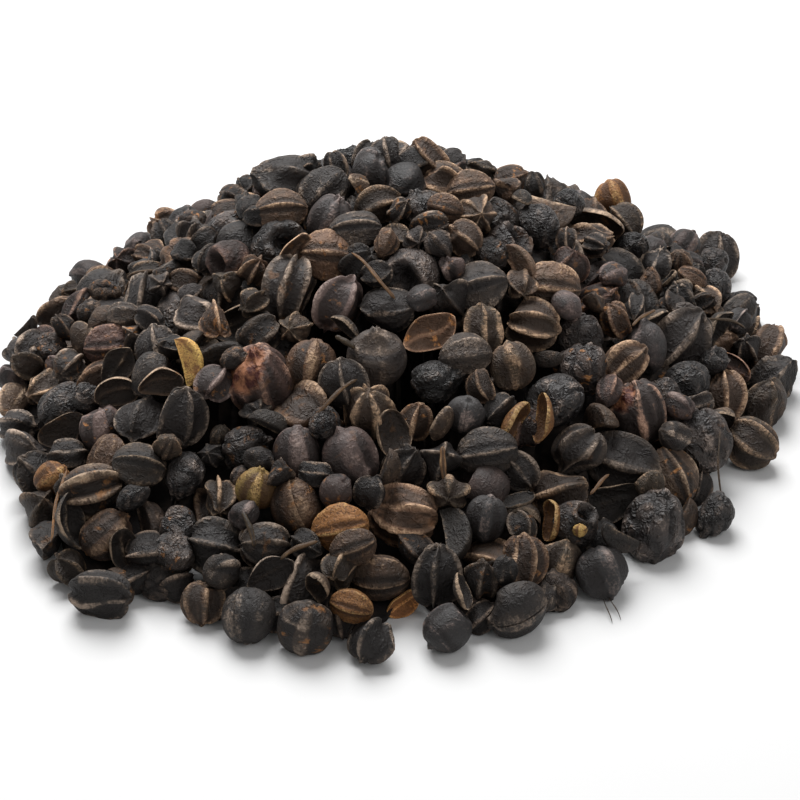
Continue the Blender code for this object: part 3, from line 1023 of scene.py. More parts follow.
class Fineness(Enum):
    """How finely a ball is cut: its segments round and its rings."""

    FINE = (40, 24)
    MIDDLE = (40, 18)
    COARSE = (30, 14)
    ROUGH = (20, 10)


@dataclass
class Sphere:
    """A ball's mesh with its own map, copied for each thing that is shaped from it."""

    fineness: Fineness

    def __post_init__(self) -> None:
        """Makes the mesh and reads what every copy shares."""
        self.data = into_data(round_mesh(*self.fineness.value), "ball")
        self.points = np.empty(3 * len(self.data.vertices), np.float32)
        self.data.vertices.foreach_get("co", self.points)
        self.points = self.points.reshape(-1, 3).astype(float)
        self.shaper = Shaper(self.points)


def turned(lie: float, nod: float, spin: float) -> Matrix:
    """A turn that points a thing's tip as the viewer is to see it.

    Args:
        lie: The tip's way across the view, in degrees from right.
        nod: How far the tip points at the viewer, in degrees.
        spin: A turn on its own axis, in degrees; at 0 its X axis faces the viewer.

    Returns:
        The turn.
    """
    lift, lie, nod = (math.radians(angle) for angle in (Studio.lift, lie, nod))
    up = Vector((0, math.sin(lift), math.cos(lift)))
    viewer = Vector((0, -math.cos(lift), math.sin(lift)))
    across = Vector((1, 0, 0)) * math.cos(lie) + up * math.sin(lie)
    tip = across * math.cos(nod) + viewer * math.sin(nod)
    front = viewer * math.cos(nod) - across * math.sin(nod)
    faces = Matrix((front, tip.cross(front), tip)).transposed()
    return faces @ Matrix.Rotation(math.radians(spin), 3, "Z")


@dataclass
class Thing:
    """One berry or husk, ready to be put into a piece."""

    ball: Ball
    kind: Kind
    look: Look
    turn: Matrix
    # its own paleness times the painted light and shade of its place on the heap
    light: float
    warm: float


Measure = float | tuple[float, float] | list[float]


def drawn(measure: Measure, rng: random.Random) -> float:
    """A number as it is, any number of a range, or one of a list.

    Args:
        measure: The number, range or list.
        rng: Where the choice comes from.

    Returns:
        The number.
    """
    if isinstance(measure, list):
        return rng.choice(measure)
    if isinstance(measure, tuple):
        return rng.uniform(*measure)
    return measure


def all_drawn(measures: dict[str, Measure], rng: random.Random) -> dict[str, float]:
    """Draws measures in the order in which they are named."""
    return {name: drawn(measure, rng) for name, measure in measures.items()}


@dataclass(frozen=True)
class Recipe:
    """What sets the berries of one look apart: how many ribs, how unevenly spaced, and measures."""

    ribs: Measure
    uneven: float
    measures: dict[str, Measure]


EVERY_BERRY = dict(
    length=(1.0, 1.28), blunt=(0.78, 0.95), taper=(-0.06, 0.10), squash=(0.80, 1.0), bend=(-0.12, 0.12),
    dents=3, tip=(0.06, 0.20), crown=[0.0, 0.0, 0.10, 0.18], facets=[1, 2, 2, 3], wear=(0.55, 1.25),
    stub=[0.0, 0.0, 0.0, 0.0, 0.32],
)
PLUMP = dict(
    length=(0.95, 1.15), rib_height=0.04, rib_width=0.2, furrow=0.03, wrinkle=(0.008, 0.02), fold=0.03,
    dent_depth=0.10, collar=[0.0, 0.05],
)
RIBBED = dict(
    rib_height=(0.10, 0.18), rib_width=(0.085, 0.15), furrow=(0.05, 0.10), panel=(-0.22, -0.04),
    wrinkle=(0.008, 0.03), wrinkle_pace=(4.0, 6.0), dent_depth=0.09,
)
SUNKEN = dict(
    rib_height=(0.09, 0.16), rib_width=(0.09, 0.15), furrow=(0.05, 0.10), panel=(-0.34, -0.18),
    wrinkle=(0.01, 0.035), dent_depth=0.14,
)
LOBED = dict(
    length=(0.95, 1.12), rib_height=(0.05, 0.09), rib_width=(0.20, 0.32), furrow=(0.05, 0.09),
    panel=0.04, wrinkle=(0.004, 0.016), dent_depth=0.11,
)
FOLDED = dict(
    length=(0.95, 1.2), squash=(0.72, 0.96), wrinkle=(0.09, 0.14), wrinkle_pace=(5.0, 7.5), fold=0.08,
    dents=4, dent_depth=0.15,
)
BURST = dict(rib_height=0.05, panel=0.0, squash=0.95, wrinkle=0.01, facets=0)
HOLLOW = dict(hole=(0.5, 0.8), wrinkle=0.06, wrinkle_pace=6.0, fold=0.05, length=1.0, facets=0)
STAR = dict(
    length=0.62, blunt=0.9, rib_height=0.20, rib_width=0.27, furrow=0.05, panel=-0.06, tip=0.22,
    scar=0.05, wrinkle=0.03, dents=1, facets=0,
)
RECIPES = {
    Look.RIBBED: Recipe([5, 5, 6, 6], 0.10, RIBBED),
    Look.SUNKEN: Recipe([3, 4, 5], 0.2, SUNKEN),
    Look.LOBED: Recipe([1, 2, 3], 0.3, LOBED),
    Look.WRINKLED: Recipe(0, 0.0, FOLDED),
    Look.SMOOTH: Recipe([1, 2, 3], 0.10, PLUMP),
    Look.CAPPED: Recipe([0, 0, 0], 0.0, PLUMP | dict(collar=[0.09, 0.09])),
    Look.BURST: Recipe(5, 0.10, BURST),
    Look.HOLLOW: Recipe(0, 0.0, HOLLOW),
    Look.STAR: Recipe(5, 0.10, STAR),
}
# How pale the ribs of chosen berries are rubbed, where that isn't 1.
WORN_SKINS = {Kind.CHARCOAL: 0.8, Kind.RAISIN: 0.85, Kind.PLUM: 0.7}
UNDER_FROM = 0.0042  # balls whose tops lie deeper than this are only glimpsed
HIDDEN_FROM = 0.0085  # and from here on they aren't seen at all


@dataclass
class Grower:
    """Decides what lies at each ball and shapes it.

    Grow is how much larger than its ball a thing of each pour is. Things are painted paler up the
    front slope than at its foot, and painted darker again over the top: painted light and shade of
    their place on the heap; slope and top are where that begins and ends, along Y.
    """

    seed: int = 23
    grow: tuple[float, ...] = (1.09, 1.09, 1.15, 1.30)
    left_out: float = 0.42
    painted_light_at_foot: float = 1.16
    painted_light_up_slope: float = 0.50
    painted_shade_over_top: float = 0.34
    slope: tuple[float, float] = (-0.040, -0.004)
    top: tuple[float, float] = (-0.004, 0.010)
    kinds: tuple[tuple[Kind, Look, float], ...] = (
        (Kind.CHARCOAL, Look.RIBBED, 0.19),
        (Kind.CHARCOAL, Look.SUNKEN, 0.15),
        (Kind.CHARCOAL, Look.SMOOTH, 0.03),
        (Kind.CHARCOAL, Look.LENS, 0.02),
        (Kind.BROWN, Look.RIBBED, 0.14),
        (Kind.BROWN, Look.SUNKEN, 0.08),
        (Kind.BROWN, Look.LENS, 0.03),
        (Kind.BROWN, Look.SEGMENT, 0.01),
        (Kind.RAISIN, Look.WRINKLED, 0.10),
        (Kind.RAISIN, Look.HOLLOW, 0.02),
        (Kind.PLUM, Look.SMOOTH, 0.03),
        (Kind.PLUM, Look.LOBED, 0.08),
        (Kind.BURST, Look.SUNKEN, 0.02),
        (Kind.DARK_HUSK, Look.DISH, 0.05),
        (Kind.DARK_HUSK, Look.SEGMENT, 0.03),
    )
    small_kinds: tuple[tuple[Kind, Look, float], ...] = (
        (Kind.CRUMB, Look.RIBBED, 0.16),
        (Kind.CRUMB, Look.SUNKEN, 0.30),
        (Kind.CRUMB, Look.WRINKLED, 0.10),
        (Kind.DARK_HUSK, Look.DISH, 0.15),
        (Kind.DARK_HUSK, Look.SEGMENT, 0.14),
        (Kind.BROWN, Look.LENS, 0.09),
        (Kind.BURST, Look.LENS, 0.04),
    )

    def pick(self, choices: tuple[tuple[Kind, Look, float], ...], rng: random.Random) -> tuple[Kind, Look]:
        """One of the choices, each as likely as its share.

        Args:
            choices: Kinds and looks, each with its share.
            rng: Where the choice comes from.

        Returns:
            The kind and the look.
        """
        left = rng.random() * sum(share for _, _, share in choices)
        for kind, look, share in choices:
            left -= share
            if left <= 0:
                return kind, look
        return choices[0][0], choices[0][1]

    def thing_for(self, ball: Ball, rng: random.Random) -> Thing:
        """What lies at a ball.

        Args:
            ball: The place.
            rng: Where the choice comes from.

        Returns:
            The chosen thing, or one picked at random.
        """
        kind, look = self.pick(self.small_kinds if ball.pour == 3 else self.kinds, rng)
        nod = math.degrees(math.asin(rng.uniform(-1, 1)))
        turn = turned(rng.uniform(0, 360), nod, rng.uniform(0, 360))
        light = rng.uniform(0.55, 1.1) + 0.5 * rng.random() ** 3
        warm = rng.random()
        if ball.depth > UNDER_FROM:
            kind, look = Kind.UNDER, Look.RIBBED
        own = ball.chosen
        if own:
            kind, look, light, warm = own.kind, own.look, own.light, own.warm
            turn = turned(own.lie, own.nod, own.spin)
        # Painted light and shade: things are made paler up the front slope and darker over the top.
        up_slope = step_up(ball.middle[1], *self.slope)
        over_top = step_up(ball.middle[1], *self.top)
        light *= float(self.painted_light_at_foot + self.painted_light_up_slope * up_slope - self.painted_shade_over_top * over_top)
        return Thing(ball, kind, look, turn, light, warm)

    def form_for(self, thing: Thing, rng: random.Random) -> Form:
        """A berry's measures, by its look.

        Args:
            thing: The berry.
            rng: Where the measures come from.

        Returns:
            The measures.
        """
        start = rng.uniform(0, TURN)
        own = thing.ball.chosen
        recipe = RECIPES[thing.look]
        common = dict(EVERY_BERRY)
        if own:
            common["facets"] = int(own.kind is not Kind.TAN_HUSK)
            common["wear"] = WORN_SKINS.get(own.kind, 1.0)
        values = all_drawn(common, rng)
        count = drawn(recipe.ribs, rng)
        values |= all_drawn(recipe.measures, rng)
        if thing.look is Look.BURST:
            values["split"] = 0.40 + 0.50 * thing.warm
        if own and own.ribs:
            count = own.ribs
        uneven = recipe.uneven
        ribs = [start + TURN * k / count + rng.uniform(-uneven, uneven) for k in range(count)]
        if own and ribs:
            ribs = [rib - ribs[0] for rib in ribs]
        return Form(ribs=tuple(ribs), **values)

    def shape(self, thing: Thing, sphere: Sphere, rng: random.Random) -> Skin:
        """Shapes a thing at the origin, in units of its half width.

        Args:
            thing: What it is.
            sphere: The ball it is shaped from.
            rng: The source of chance.

        Returns:
            Its shape.
        """
        shaper = sphere.shaper
        if thing.look is Look.DISH:
            return shaper.dish(rng, rng.uniform(0.22, 0.42), rng.choice((0.0, 0.05, 0.10, 0.16)))
        if thing.look is Look.SEGMENT:
            return shaper.segment(rng, rng.uniform(0.5, 0.9))
        if thing.look is Look.LENS:
            return shaper.lens(rng)
        return shaper.berry(self.form_for(thing, rng), rng)


@dataclass
class Piece:
    """All things of one kind as one object."""

    LONGEST = 1.30  # how long a berry may be, in half widths
    LONGEST_DISH = 1.12

    name: str
    parts: list[bpy.types.Object] = field(default_factory=list)

    def add(
        self, thing: Thing, sphere: Sphere, skin: Skin, grow: float, tops: float, rng: random.Random
    ) -> None:
        """Puts a shaped thing into the heap.

        Args:
            thing: What it is and where it lies.
            sphere: The ball it was shaped from.
            skin: Its shape, in half widths.
            grow: How much larger than its ball it is.
            tops: The height that it may not pass.
            rng: Where its pattern's place comes from.
        """
        size = np.abs(skin.points).max(axis=0)
        even = (size[0] * size[1] * size[2]) ** (-1 / 3)
        longest = self.LONGEST_DISH if thing.look is Look.DISH else self.LONGEST
        local = skin.points * min(even, longest / size.max())
        own = thing.ball.chosen
        if own:
            grow *= own.grow
        points = local @ np.array(thing.turn).T * (thing.ball.radius * grow)
        points += np.array(thing.ball.middle)
        if own:
            points += np.array(own.moved) * MILLIMETRE
        points[:, 2] -= max(points[:, 2].max() - tops, 0.0)
        offset = np.array([rng.uniform(-9, 9) for _ in range(3)])
        self.lay(Skin(points, skin.relief, skin.flesh), sphere, thing.light, thing.warm, local + offset)

    def lay(self, skin: Skin, sphere: Sphere, light: float, warm: float, place: np.ndarray) -> None:
        """Lays a thing where its shape is and gives it what its finish reads.

        Args:
            skin: Its shape, in metres.
            sphere: The ball it was shaped from.
            light: How pale it is, with any painted light and shade of its place.
            warm: How brown it is.
            place: The places in the finish's pattern, vertex by vertex.
        """
        data = sphere.data.copy()
        data.name = self.name
        points = skin.points
        points[:, 2] = np.maximum(points[:, 2], ON_TABLE)
        data.vertices.foreach_set("co", points.astype(np.float32).ravel())
        even = np.ones(len(points))
        for name, values in (
            ("relief", skin.relief),
            ("flesh", skin.flesh),
            ("light", light * even),
            ("warm", warm * even),
        ):
            layer = data.attributes.new(name, "FLOAT", "POINT")
            layer.data.foreach_set("value", values.astype(np.float32))
        layer = data.attributes.new("skin_place", "FLOAT_VECTOR", "POINT")
        layer.data.foreach_set("vector", place.astype(np.float32).ravel())
        self.parts.append(in_scene(self.name, data))

    def lay_out_map(self) -> None:
        """Gives each thing its own tile of the piece's map."""
        columns = max(1, math.ceil(math.sqrt(len(self.parts))))
        rows = math.ceil(len(self.parts) / columns)
        tile = np.array([1 / columns, 1 / rows])
        for index, part in enumerate(self.parts):
            corner = np.array([index % columns, index // columns]) * tile
            layer = part.data.uv_layers[BAKE_MAP].uv
            spots = np.empty(2 * len(layer), np.float32)
            layer.foreach_get("vector", spots)
            spots = corner + tile * (0.02 + 0.96 * spots.reshape(-1, 2))
            layer.foreach_set("vector", spots.astype(np.float32).ravel())

    def join(self, material: bpy.types.Material) -> bpy.types.Object:
        """Joins the things into one object.

        Args:
            material: Its finish.

        Returns:
            The object, which rides on the heap.
        """
        self.lay_out_map()
        whole = self.parts[0]
        with bpy.context.temp_override(
            active_object=whole,
            object=whole,
            selected_objects=self.parts,
            selected_editable_objects=self.parts,
        ):
            bpy.ops.object.join()
        whole.name = self.name
        whole.data.name = self.name
        whole.data.materials.clear()
        whole.data.materials.append(material)
        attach(whole, BODY)
        whole.data.calc_loop_triangles()
        log.info("%s: %d triangles", whole.name, len(whole.data.loop_triangles))
        return whole


@dataclass(frozen=True)
class Stalk:
    """A thin dry stalk that lies on the heap or stands out of it.

    The ends are in millimetres, as is the radius; bend is how far its middle rises.
    """

    start: tuple[float, float, float]
    end: tuple[float, float, float]
    radius: float = 0.30
    bend: float = 0.6
    knob: float = 0.0
    light: float = 1.0
    warm: float = 0.5

    def skin(self, sphere: Sphere, rng: random.Random) -> Skin:
        """Draws a ball out into the stalk, in metres.

        Args:
            sphere: The ball.
            rng: Where its sway comes from.

        Returns:
            The stalk's shape.
        """
        along = sphere.shaper.polar / math.pi
        around = sphere.shaper.bearing
        start, end = np.array(self.start), np.array(self.end)
        way = (end - start) / np.linalg.norm(end - start)
        side = np.cross(way, (0.0, 0.0, 1.0))
        side /= max(np.linalg.norm(side), 1e-6)
        up = np.cross(side, way)
        arch = np.sin(math.pi * along) * self.bend
        sway = 0.25 * self.bend * np.sin(TURN * along + rng.uniform(0, TURN))
        centre = start + (end - start) * along[:, None] + up * arch[:, None] + side * sway[:, None]
        closed = np.clip(np.sin(sphere.shaper.polar) * 3, 0, 1)
        thick = self.radius * (1 + 0.16 * np.sin(11 * along + 2) + self.knob * bump(along - 0.97, 0.07))
        ring = side * np.cos(around)[:, None] + up * np.sin(around)[:, None]
        points = centre + ring * (thick * closed)[:, None]
        relief = 0.5 * np.sin(3 * around)
        return Skin(points * MILLIMETRE, relief, np.zeros(len(points)))


STALKS = (
    Stalk((-6.9, -8.7, 31.2), (-0.3, -16.9, 28.2), 0.26, 1.0, 1.1, 1.0, 0.7),
    Stalk((-47.6, -33.0, 9.8), (-48.7, -45.8, 6.6), 0.21, 0.7, 0.5, 1.3, 0.9),
    Stalk((47.1, -23.3, 9.9), (47.0, -34.5, 1.4), 0.13, 1.2, 0.0, 0.45, 0.3),
    Stalk((27.2, -40.8, 11.0), (30.2, -36.7, 11.6), 0.26, 0.3, 0.2, 0.8, 1.0),
    Stalk((6.3, -38.6, 18.0), (6.6, -41.6, 14.2), 0.42, 0.2, 0.5, 0.9, 0.7),
    Stalk((28.8, -51.3, 0.9), (29.8, -56.0, 0.2), 0.07, 0.3, 0.0, 0.6, 0.2),
    Stalk((29.6, -51.0, 0.9), (31.1, -55.3, 0.2), 0.07, 0.3, 0.0, 0.6, 0.2),
    Stalk((35.0, -9.7, 18.9), (38.9, -5.0, 18.8), 0.26, 0.4, 0.6, 0.8, 0.5),
    Stalk((47.1, -0.6, 14.2), (54.1, 2.7, 10.2), 0.24, 0.8, 0.3, 0.6, 0.4),
    Stalk((-8.9, -22.6, 25.8), (-6.0, -23.9, 24.6), 0.42, 0.1, 0.5, 0.5, 0.2),
    Stalk((-12.3, -34.8, 19.2), (-5.5, -29.2, 22.8), 0.30, 0.9, 0.7, 0.65, 0.6),
    Stalk((-21.5, -45.5, 12.2), (-19.6, -50.9, 9.6), 0.36, 0.4, 0.5, 0.4, 0.2),
    Stalk((-16.1, -53.2, 9.3), (-10.9, -51.2, 11.0), 0.34, 0.5, 0.4, 0.8, 0.5),
)


# ---------------------------------------------------------------- the finishes

Colour = tuple[float, float, float]


class Value:
    """A shader socket that takes part in sums: an expression on values adds its nodes."""

    def __init__(self, painter: "Painter", socket: bpy.types.NodeSocket) -> None:
        """Wraps a node's output."""
        self.painter = painter
        self.socket = socket

    def _math(self, operation: str, first: object, second: object) -> "Value":
        """Adds one Math node."""
        node = self.painter.node("ShaderNodeMath", {"operation": operation}, {0: first, 1: second})
        return Value(self.painter, node.outputs[0])

    def __add__(self, other: object) -> "Value":
        """This plus other."""
        return self._math("ADD", self, other)

    def __radd__(self, other: object) -> "Value":
        """Other plus this."""
        return self._math("ADD", other, self)

    def __sub__(self, other: object) -> "Value":
        """This less other."""
        return self._math("SUBTRACT", self, other)

    def __rsub__(self, other: object) -> "Value":
        """Other less this."""
        return self._math("SUBTRACT", other, self)

    def __mul__(self, other: object) -> "Value":
        """This times other."""
        return self._math("MULTIPLY", self, other)

    def __rmul__(self, other: object) -> "Value":
        """Other times this."""
        return self._math("MULTIPLY", other, self)

    def step(self, low: float, high: float) -> "Value":
        """A soft step from 0 below low to 1 above high."""
        node = self.painter.node(
            "ShaderNodeMapRange",
            {"interpolation_type": "SMOOTHSTEP"},
            {"Value": self, "From Min": low, "From Max": high},
        )
        return Value(self.painter, node.outputs["Result"])


class Painter:
    """Builds one material's nodes."""

    def __init__(self, name: str) -> None:
        """Starts a material with a bare Principled shader."""
        self.material = bpy.data.materials.new(name)
        self.material.use_nodes = True
        self.tree = self.material.node_tree
        self.shader = self.tree.nodes["Principled BSDF"]

    def node(self, kind: str, settings: dict[str, object], inputs: dict) -> bpy.types.Node:
        """Adds a node.

        Args:
            kind: The node's type.
            settings: Its own settings, which are set first.
            inputs: Values or links, by the name or the index of the socket.

        Returns:
            The node.
        """
        node = self.tree.nodes.new(kind)
        for name, value in settings.items():
            setattr(node, name, value)
        for name, value in inputs.items():
            self.feed(node.inputs[name], value)
        return node

    def feed(self, socket: bpy.types.NodeSocket, value: object) -> None:
        """Links a value to a socket, or sets the socket to a number or a colour.

        Args:
            socket: The socket.
            value: What goes in.
        """
        if isinstance(value, Value):
            self.tree.links.new(value.socket, socket)
        elif isinstance(value, tuple) and socket.type == "RGBA":
            socket.default_value = (*value, 1.0)
        else:
            socket.default_value = value

    def attribute(self, name: str, output: str = "Fac") -> Value:
        """One of the piece's own attributes."""
        node = self.node("ShaderNodeAttribute", {"attribute_name": name}, {})
        return Value(self, node.outputs[output])

    def object_place(self) -> Value:
        """The place on the object, in metres."""
        return Value(self, self.node("ShaderNodeTexCoord", {}, {}).outputs["Object"])

    def stretched(self, vector: Value, scale: Colour) -> Value:
        """A place, drawn out along its axes."""
        node = self.node("ShaderNodeVectorMath", {"operation": "MULTIPLY"}, {0: vector, 1: scale})
        return Value(self, node.outputs[0])

    def scaled(self, colour: Value, factor: object) -> Value:
        """A colour or a place, times a factor."""
        node = self.node("ShaderNodeVectorMath", {"operation": "SCALE"}, {0: colour, "Scale": factor})
        return Value(self, node.outputs[0])

    def noise(self, vector: Value, scale: float, detail: float = 3.0, roughness: float = 0.55) -> Value:
        """Cloudy noise from 0 to 1."""
        inputs = {"Vector": vector, "Scale": scale, "Detail": detail, "Roughness": roughness}
        return Value(self, self.node("ShaderNodeTexNoise", {}, inputs).outputs["Fac"])

    def cells(self, vector: Value, scale: float) -> Value:
        """The distance to the nearest border of irregular cells."""
        settings = {"feature": "DISTANCE_TO_EDGE"}
        node = self.node("ShaderNodeTexVoronoi", settings, {"Vector": vector, "Scale": scale})
        return Value(self, node.outputs["Distance"])

    def stirred(self, vector: Value, scale: float, far: float) -> Value:
        """A place, pushed about so that what is drawn there meanders.

        Args:
            vector: The place.
            scale: How finely it is pushed about.
            far: How far.

        Returns:
            The new place.
        """
        inputs = {"Vector": vector, "Scale": scale, "Detail": 2.0}
        cloud = Value(self, self.node("ShaderNodeTexNoise", {}, inputs).outputs["Color"])
        inputs = {0: vector, 1: self.scaled(cloud, far)}
        return Value(self, self.node("ShaderNodeVectorMath", {"operation": "ADD"}, inputs).outputs[0])

    def mix(self, factor: object, first: object, second: object) -> Value:
        """A colour from first at 0 to second at 1."""
        node = self.node("ShaderNodeMix", {"data_type": "RGBA"}, {0: factor, 6: first, 7: second})
        return Value(self, node.outputs[2])

    def finish(
        self, colour: Value, roughness: object, gloss: float, height: Value, depth: float
    ) -> None:
        """Feeds the shader.

        Args:
            colour: The base colour.
            roughness: The roughness, as a number or a value.
            gloss: How strongly it shines.
            height: The fine relief, from 0 to 1.
            depth: How deep the fine relief is, in metres.
        """
        self.feed(self.shader.inputs["Base Color"], colour)
        self.feed(self.shader.inputs["Roughness"], roughness)
        bumped = self.node("ShaderNodeBump", {}, {"Strength": 1.0, "Distance": depth, "Height": height})
        self.tree.links.new(bumped.outputs["Normal"], self.shader.inputs["Normal"])
        self.shader.inputs["Specular IOR Level"].default_value = gloss


@dataclass(frozen=True)
class DriedSkin:
    """The finish of a dried berry's skin.

    Cool and warm are its colours without and with brown in it, worn is that of the crests that
    have been rubbed pale, deep that of the furrows. The numbers are how strongly the skin is
    streaked across its ribs, netted with fine wrinkles and rubbed.
    """

    name: str
    cool: Colour
    warm: Colour
    worn: Colour
    deep: Colour
    roughness: float = 0.60
    streaks: float = 0.5
    net: float = 0.6
    rubbed: float = 0.9
    depth: float = 0.00040
    rust: Colour = (0.30, 0.130, 0.040)
    gloss: float = 0.30
    flesh: Colour = (0.30, 0.128, 0.064)
    pulp: Colour = (0.060, 0.014, 0.010)
    specks: float = 0.0

    def material(self) -> bpy.types.Material:
        """Builds the finish."""
        paint = Painter(self.name)
        place = paint.attribute("skin_place", "Vector")
        relief = paint.attribute("relief")
        light = paint.attribute("light")
        warmth = paint.attribute("warm")
        open_flesh = paint.attribute("flesh")

        mottle = paint.noise(place, 1.5, 3.0)
        patch = paint.noise(place, 2.7, 2.0).step(0.36, 0.62)
        grain = paint.noise(place, 8.0, 4.0, 0.7)
        streak = paint.noise(paint.stretched(place, (3.0, 3.0, 16.0)), 1.0, 2.0, 0.6)
        stirred = paint.stirred(place, 2.4, 0.5)
        net = 1 - paint.cells(stirred, 2.9).step(0.0, 0.16)
        fold = 1 - paint.cells(paint.stretched(stirred, (1.0, 1.0, 0.5)), 4.8).step(0.0, 0.22)

        wrinkles = self.net * patch * (0.50 * net + 0.50 * fold)
        crest = 0.80 * relief + 0.45 * wrinkles + 1.7 * (mottle - 0.5) + 1.7 * (grain - 0.5)
        crest = crest + self.streaks * 1.1 * (streak - 0.5)
        warm_share = (warmth + 1.2 * (mottle - 0.5)).step(0.1, 0.9)
        body = paint.mix(warm_share, self.cool, self.warm)
        hollow = (0.5 * (0.5 - grain) - relief).step(-0.05, 0.55)
        body = paint.mix(0.85 * hollow, body, self.deep)
        rubbed = self.rubbed * crest.step(0.12, 1.25) * (1 - 0.75 * hollow)
        rubbed = rubbed * (1 - 0.6 * light.step(1.4, 3.2))
        body = paint.mix(rubbed, body, self.worn)
        rust = paint.noise(paint.stretched(place, (1.0, 1.0, 1.6)), 1.7, 4.0).step(0.58, 0.70)
        body = paint.mix(0.75 * rust * warmth.step(0.62, 0.95), body, self.rust)
        specks = paint.noise(place, 10.0, 2.0, 0.6).step(0.53, 0.61)
        body = paint.mix(self.specks * specks, body, self.deep)
        # The light attribute holds each thing's paleness with the painted light and shade of its place on
        # the heap.
        body = paint.scaled(body, light)
        inside = paint.mix(paint.noise(place, 3.6, 4.0).step(0.38, 0.62), self.pulp, self.flesh)
        body = paint.mix(open_flesh, body, inside)

        height = 0.85 * wrinkles + 0.35 * self.streaks * streak + 0.50 * grain
        roughness = self.roughness + 0.30 * (grain - 0.5)
        paint.finish(body, roughness, self.gloss, height, self.depth)
        return paint.material


@dataclass(frozen=True)
class Shadowed:
    """The finish of the core: skins and crumbs deep in the heap, nearly black."""

    name: str = "core_of_heap"
    dark: Colour = (0.0150, 0.0128, 0.0126)
    pale: Colour = (0.044, 0.0335, 0.0280)

    def material(self) -> bpy.types.Material:
        """Builds the finish."""
        paint = Painter(self.name)
        place = paint.object_place()
        lumps = paint.noise(place, 260.0, 4.0)
        crumbs = paint.noise(place, 900.0, 3.0)
        body = paint.mix(lumps.step(0.42, 0.72), self.dark, self.pale)
        paint.finish(body, 0.8 + 0.2 * (crumbs - 0.5), 0.08, 0.6 * lumps + 0.4 * crumbs, 0.0006)
        return paint.material


@dataclass(frozen=True)
class TableTop:
    """The finish of the pale table."""

    name: str = "pale_table"
    colour: Colour = (0.66, 0.66, 0.66)

    def material(self) -> bpy.types.Material:
        """Builds the finish."""
        paint = Painter(self.name)
        place = paint.object_place()
        cloud = paint.noise(place, 30.0, 2.0)
        shade = tuple(0.985 * channel for channel in self.colour)
        paint.finish(paint.mix(cloud, self.colour, shade), 0.9, 0.1, cloud, 0.00001)
        return paint.material


CHARCOAL_SKIN = DriedSkin(
    "charcoal_skin", cool=(0.021, 0.0175, 0.0158), warm=(0.040, 0.0285, 0.0215), worn=(0.330, 0.250, 0.192),
    deep=(0.0110, 0.0090, 0.0086),
)
BROWN_SKIN = DriedSkin(
    "brown_skin", cool=(0.046, 0.034, 0.024), warm=(0.080, 0.045, 0.028), worn=(0.440, 0.290, 0.182),
    deep=(0.0165, 0.0105, 0.0075), streaks=0.9,
)
RAISIN_SKIN = DriedSkin(
    "raisin_skin", cool=(0.017, 0.0148, 0.0142), warm=(0.031, 0.0225, 0.0188), worn=(0.290, 0.226, 0.188),
    deep=(0.0088, 0.0072, 0.0070), roughness=0.48, gloss=0.40, streaks=0.2, net=1.1, rubbed=0.8,
    depth=0.00050,
)
PLUM_SKIN = DriedSkin(
    "plum_skin", cool=(0.026, 0.0238, 0.0235), warm=(0.062, 0.0420, 0.0370), worn=(0.290, 0.218, 0.190),
    deep=(0.0120, 0.0092, 0.0086), roughness=0.56, streaks=0.35, net=0.45, depth=0.00028,
)
BURST_SKIN = DriedSkin(
    "burst_skin", cool=(0.026, 0.0195, 0.0175), warm=(0.055, 0.0310, 0.0250), worn=(0.360, 0.215, 0.150),
    deep=(0.0110, 0.0070, 0.0058),
)
CRUMB_SKIN = DriedSkin(
    "small_berry_skin", cool=(0.020, 0.0165, 0.0150), warm=(0.047, 0.0310, 0.0225),
    worn=(0.350, 0.250, 0.182), deep=(0.0105, 0.0083, 0.0077),
)
# Lower berries, glimpsed between the others: their pale crests are dimmed, painted shade for their place
# deep in the heap.
UNDER_SKIN = DriedSkin(
    "lower_berry_skin", cool=(0.020, 0.0172, 0.0162), warm=(0.036, 0.0265, 0.0212),
    worn=(0.150, 0.108, 0.084), deep=(0.0120, 0.0098, 0.0094),
)
DARK_HUSK = DriedSkin(
    "dark_husk", cool=(0.024, 0.0190, 0.0158), warm=(0.054, 0.0340, 0.0225), worn=(0.380, 0.272, 0.185),
    deep=(0.0110, 0.0086, 0.0075), net=0.5,
)
TAN_HUSK = DriedSkin(
    "tan_husk", cool=(0.235, 0.155, 0.045), warm=(0.235, 0.105, 0.036), worn=(0.620, 0.400, 0.165),
    deep=(0.060, 0.0260, 0.0110), specks=0.75, streaks=0.8, net=0.4, depth=0.00026,
)
DRY_STALK = DriedSkin(
    "dry_stalk", cool=(0.085, 0.058, 0.033), warm=(0.170, 0.085, 0.038), worn=(0.420, 0.270, 0.140),
    deep=(0.030, 0.0180, 0.0100), net=0.3, depth=0.00015,
)

FINISHES = {
    Kind.CHARCOAL: (CHARCOAL_SKIN, "berry_skin"),
    Kind.BROWN: (BROWN_SKIN, "brown_skin"),
    Kind.RAISIN: (RAISIN_SKIN, "berry_skin"),
    Kind.PLUM: (PLUM_SKIN, "berry_skin"),
    Kind.BURST: (BURST_SKIN, "berry_skin"),
    Kind.DARK_HUSK: (DARK_HUSK, "berry_skin"),
    Kind.TAN_HUSK: (TAN_HUSK, "open_husk"),
    Kind.CRUMB: (CRUMB_SKIN, "berry_skin"),
    Kind.UNDER: (UNDER_SKIN, "berry_skin"),
}


# ---------------------------------------------------------------- the pieces


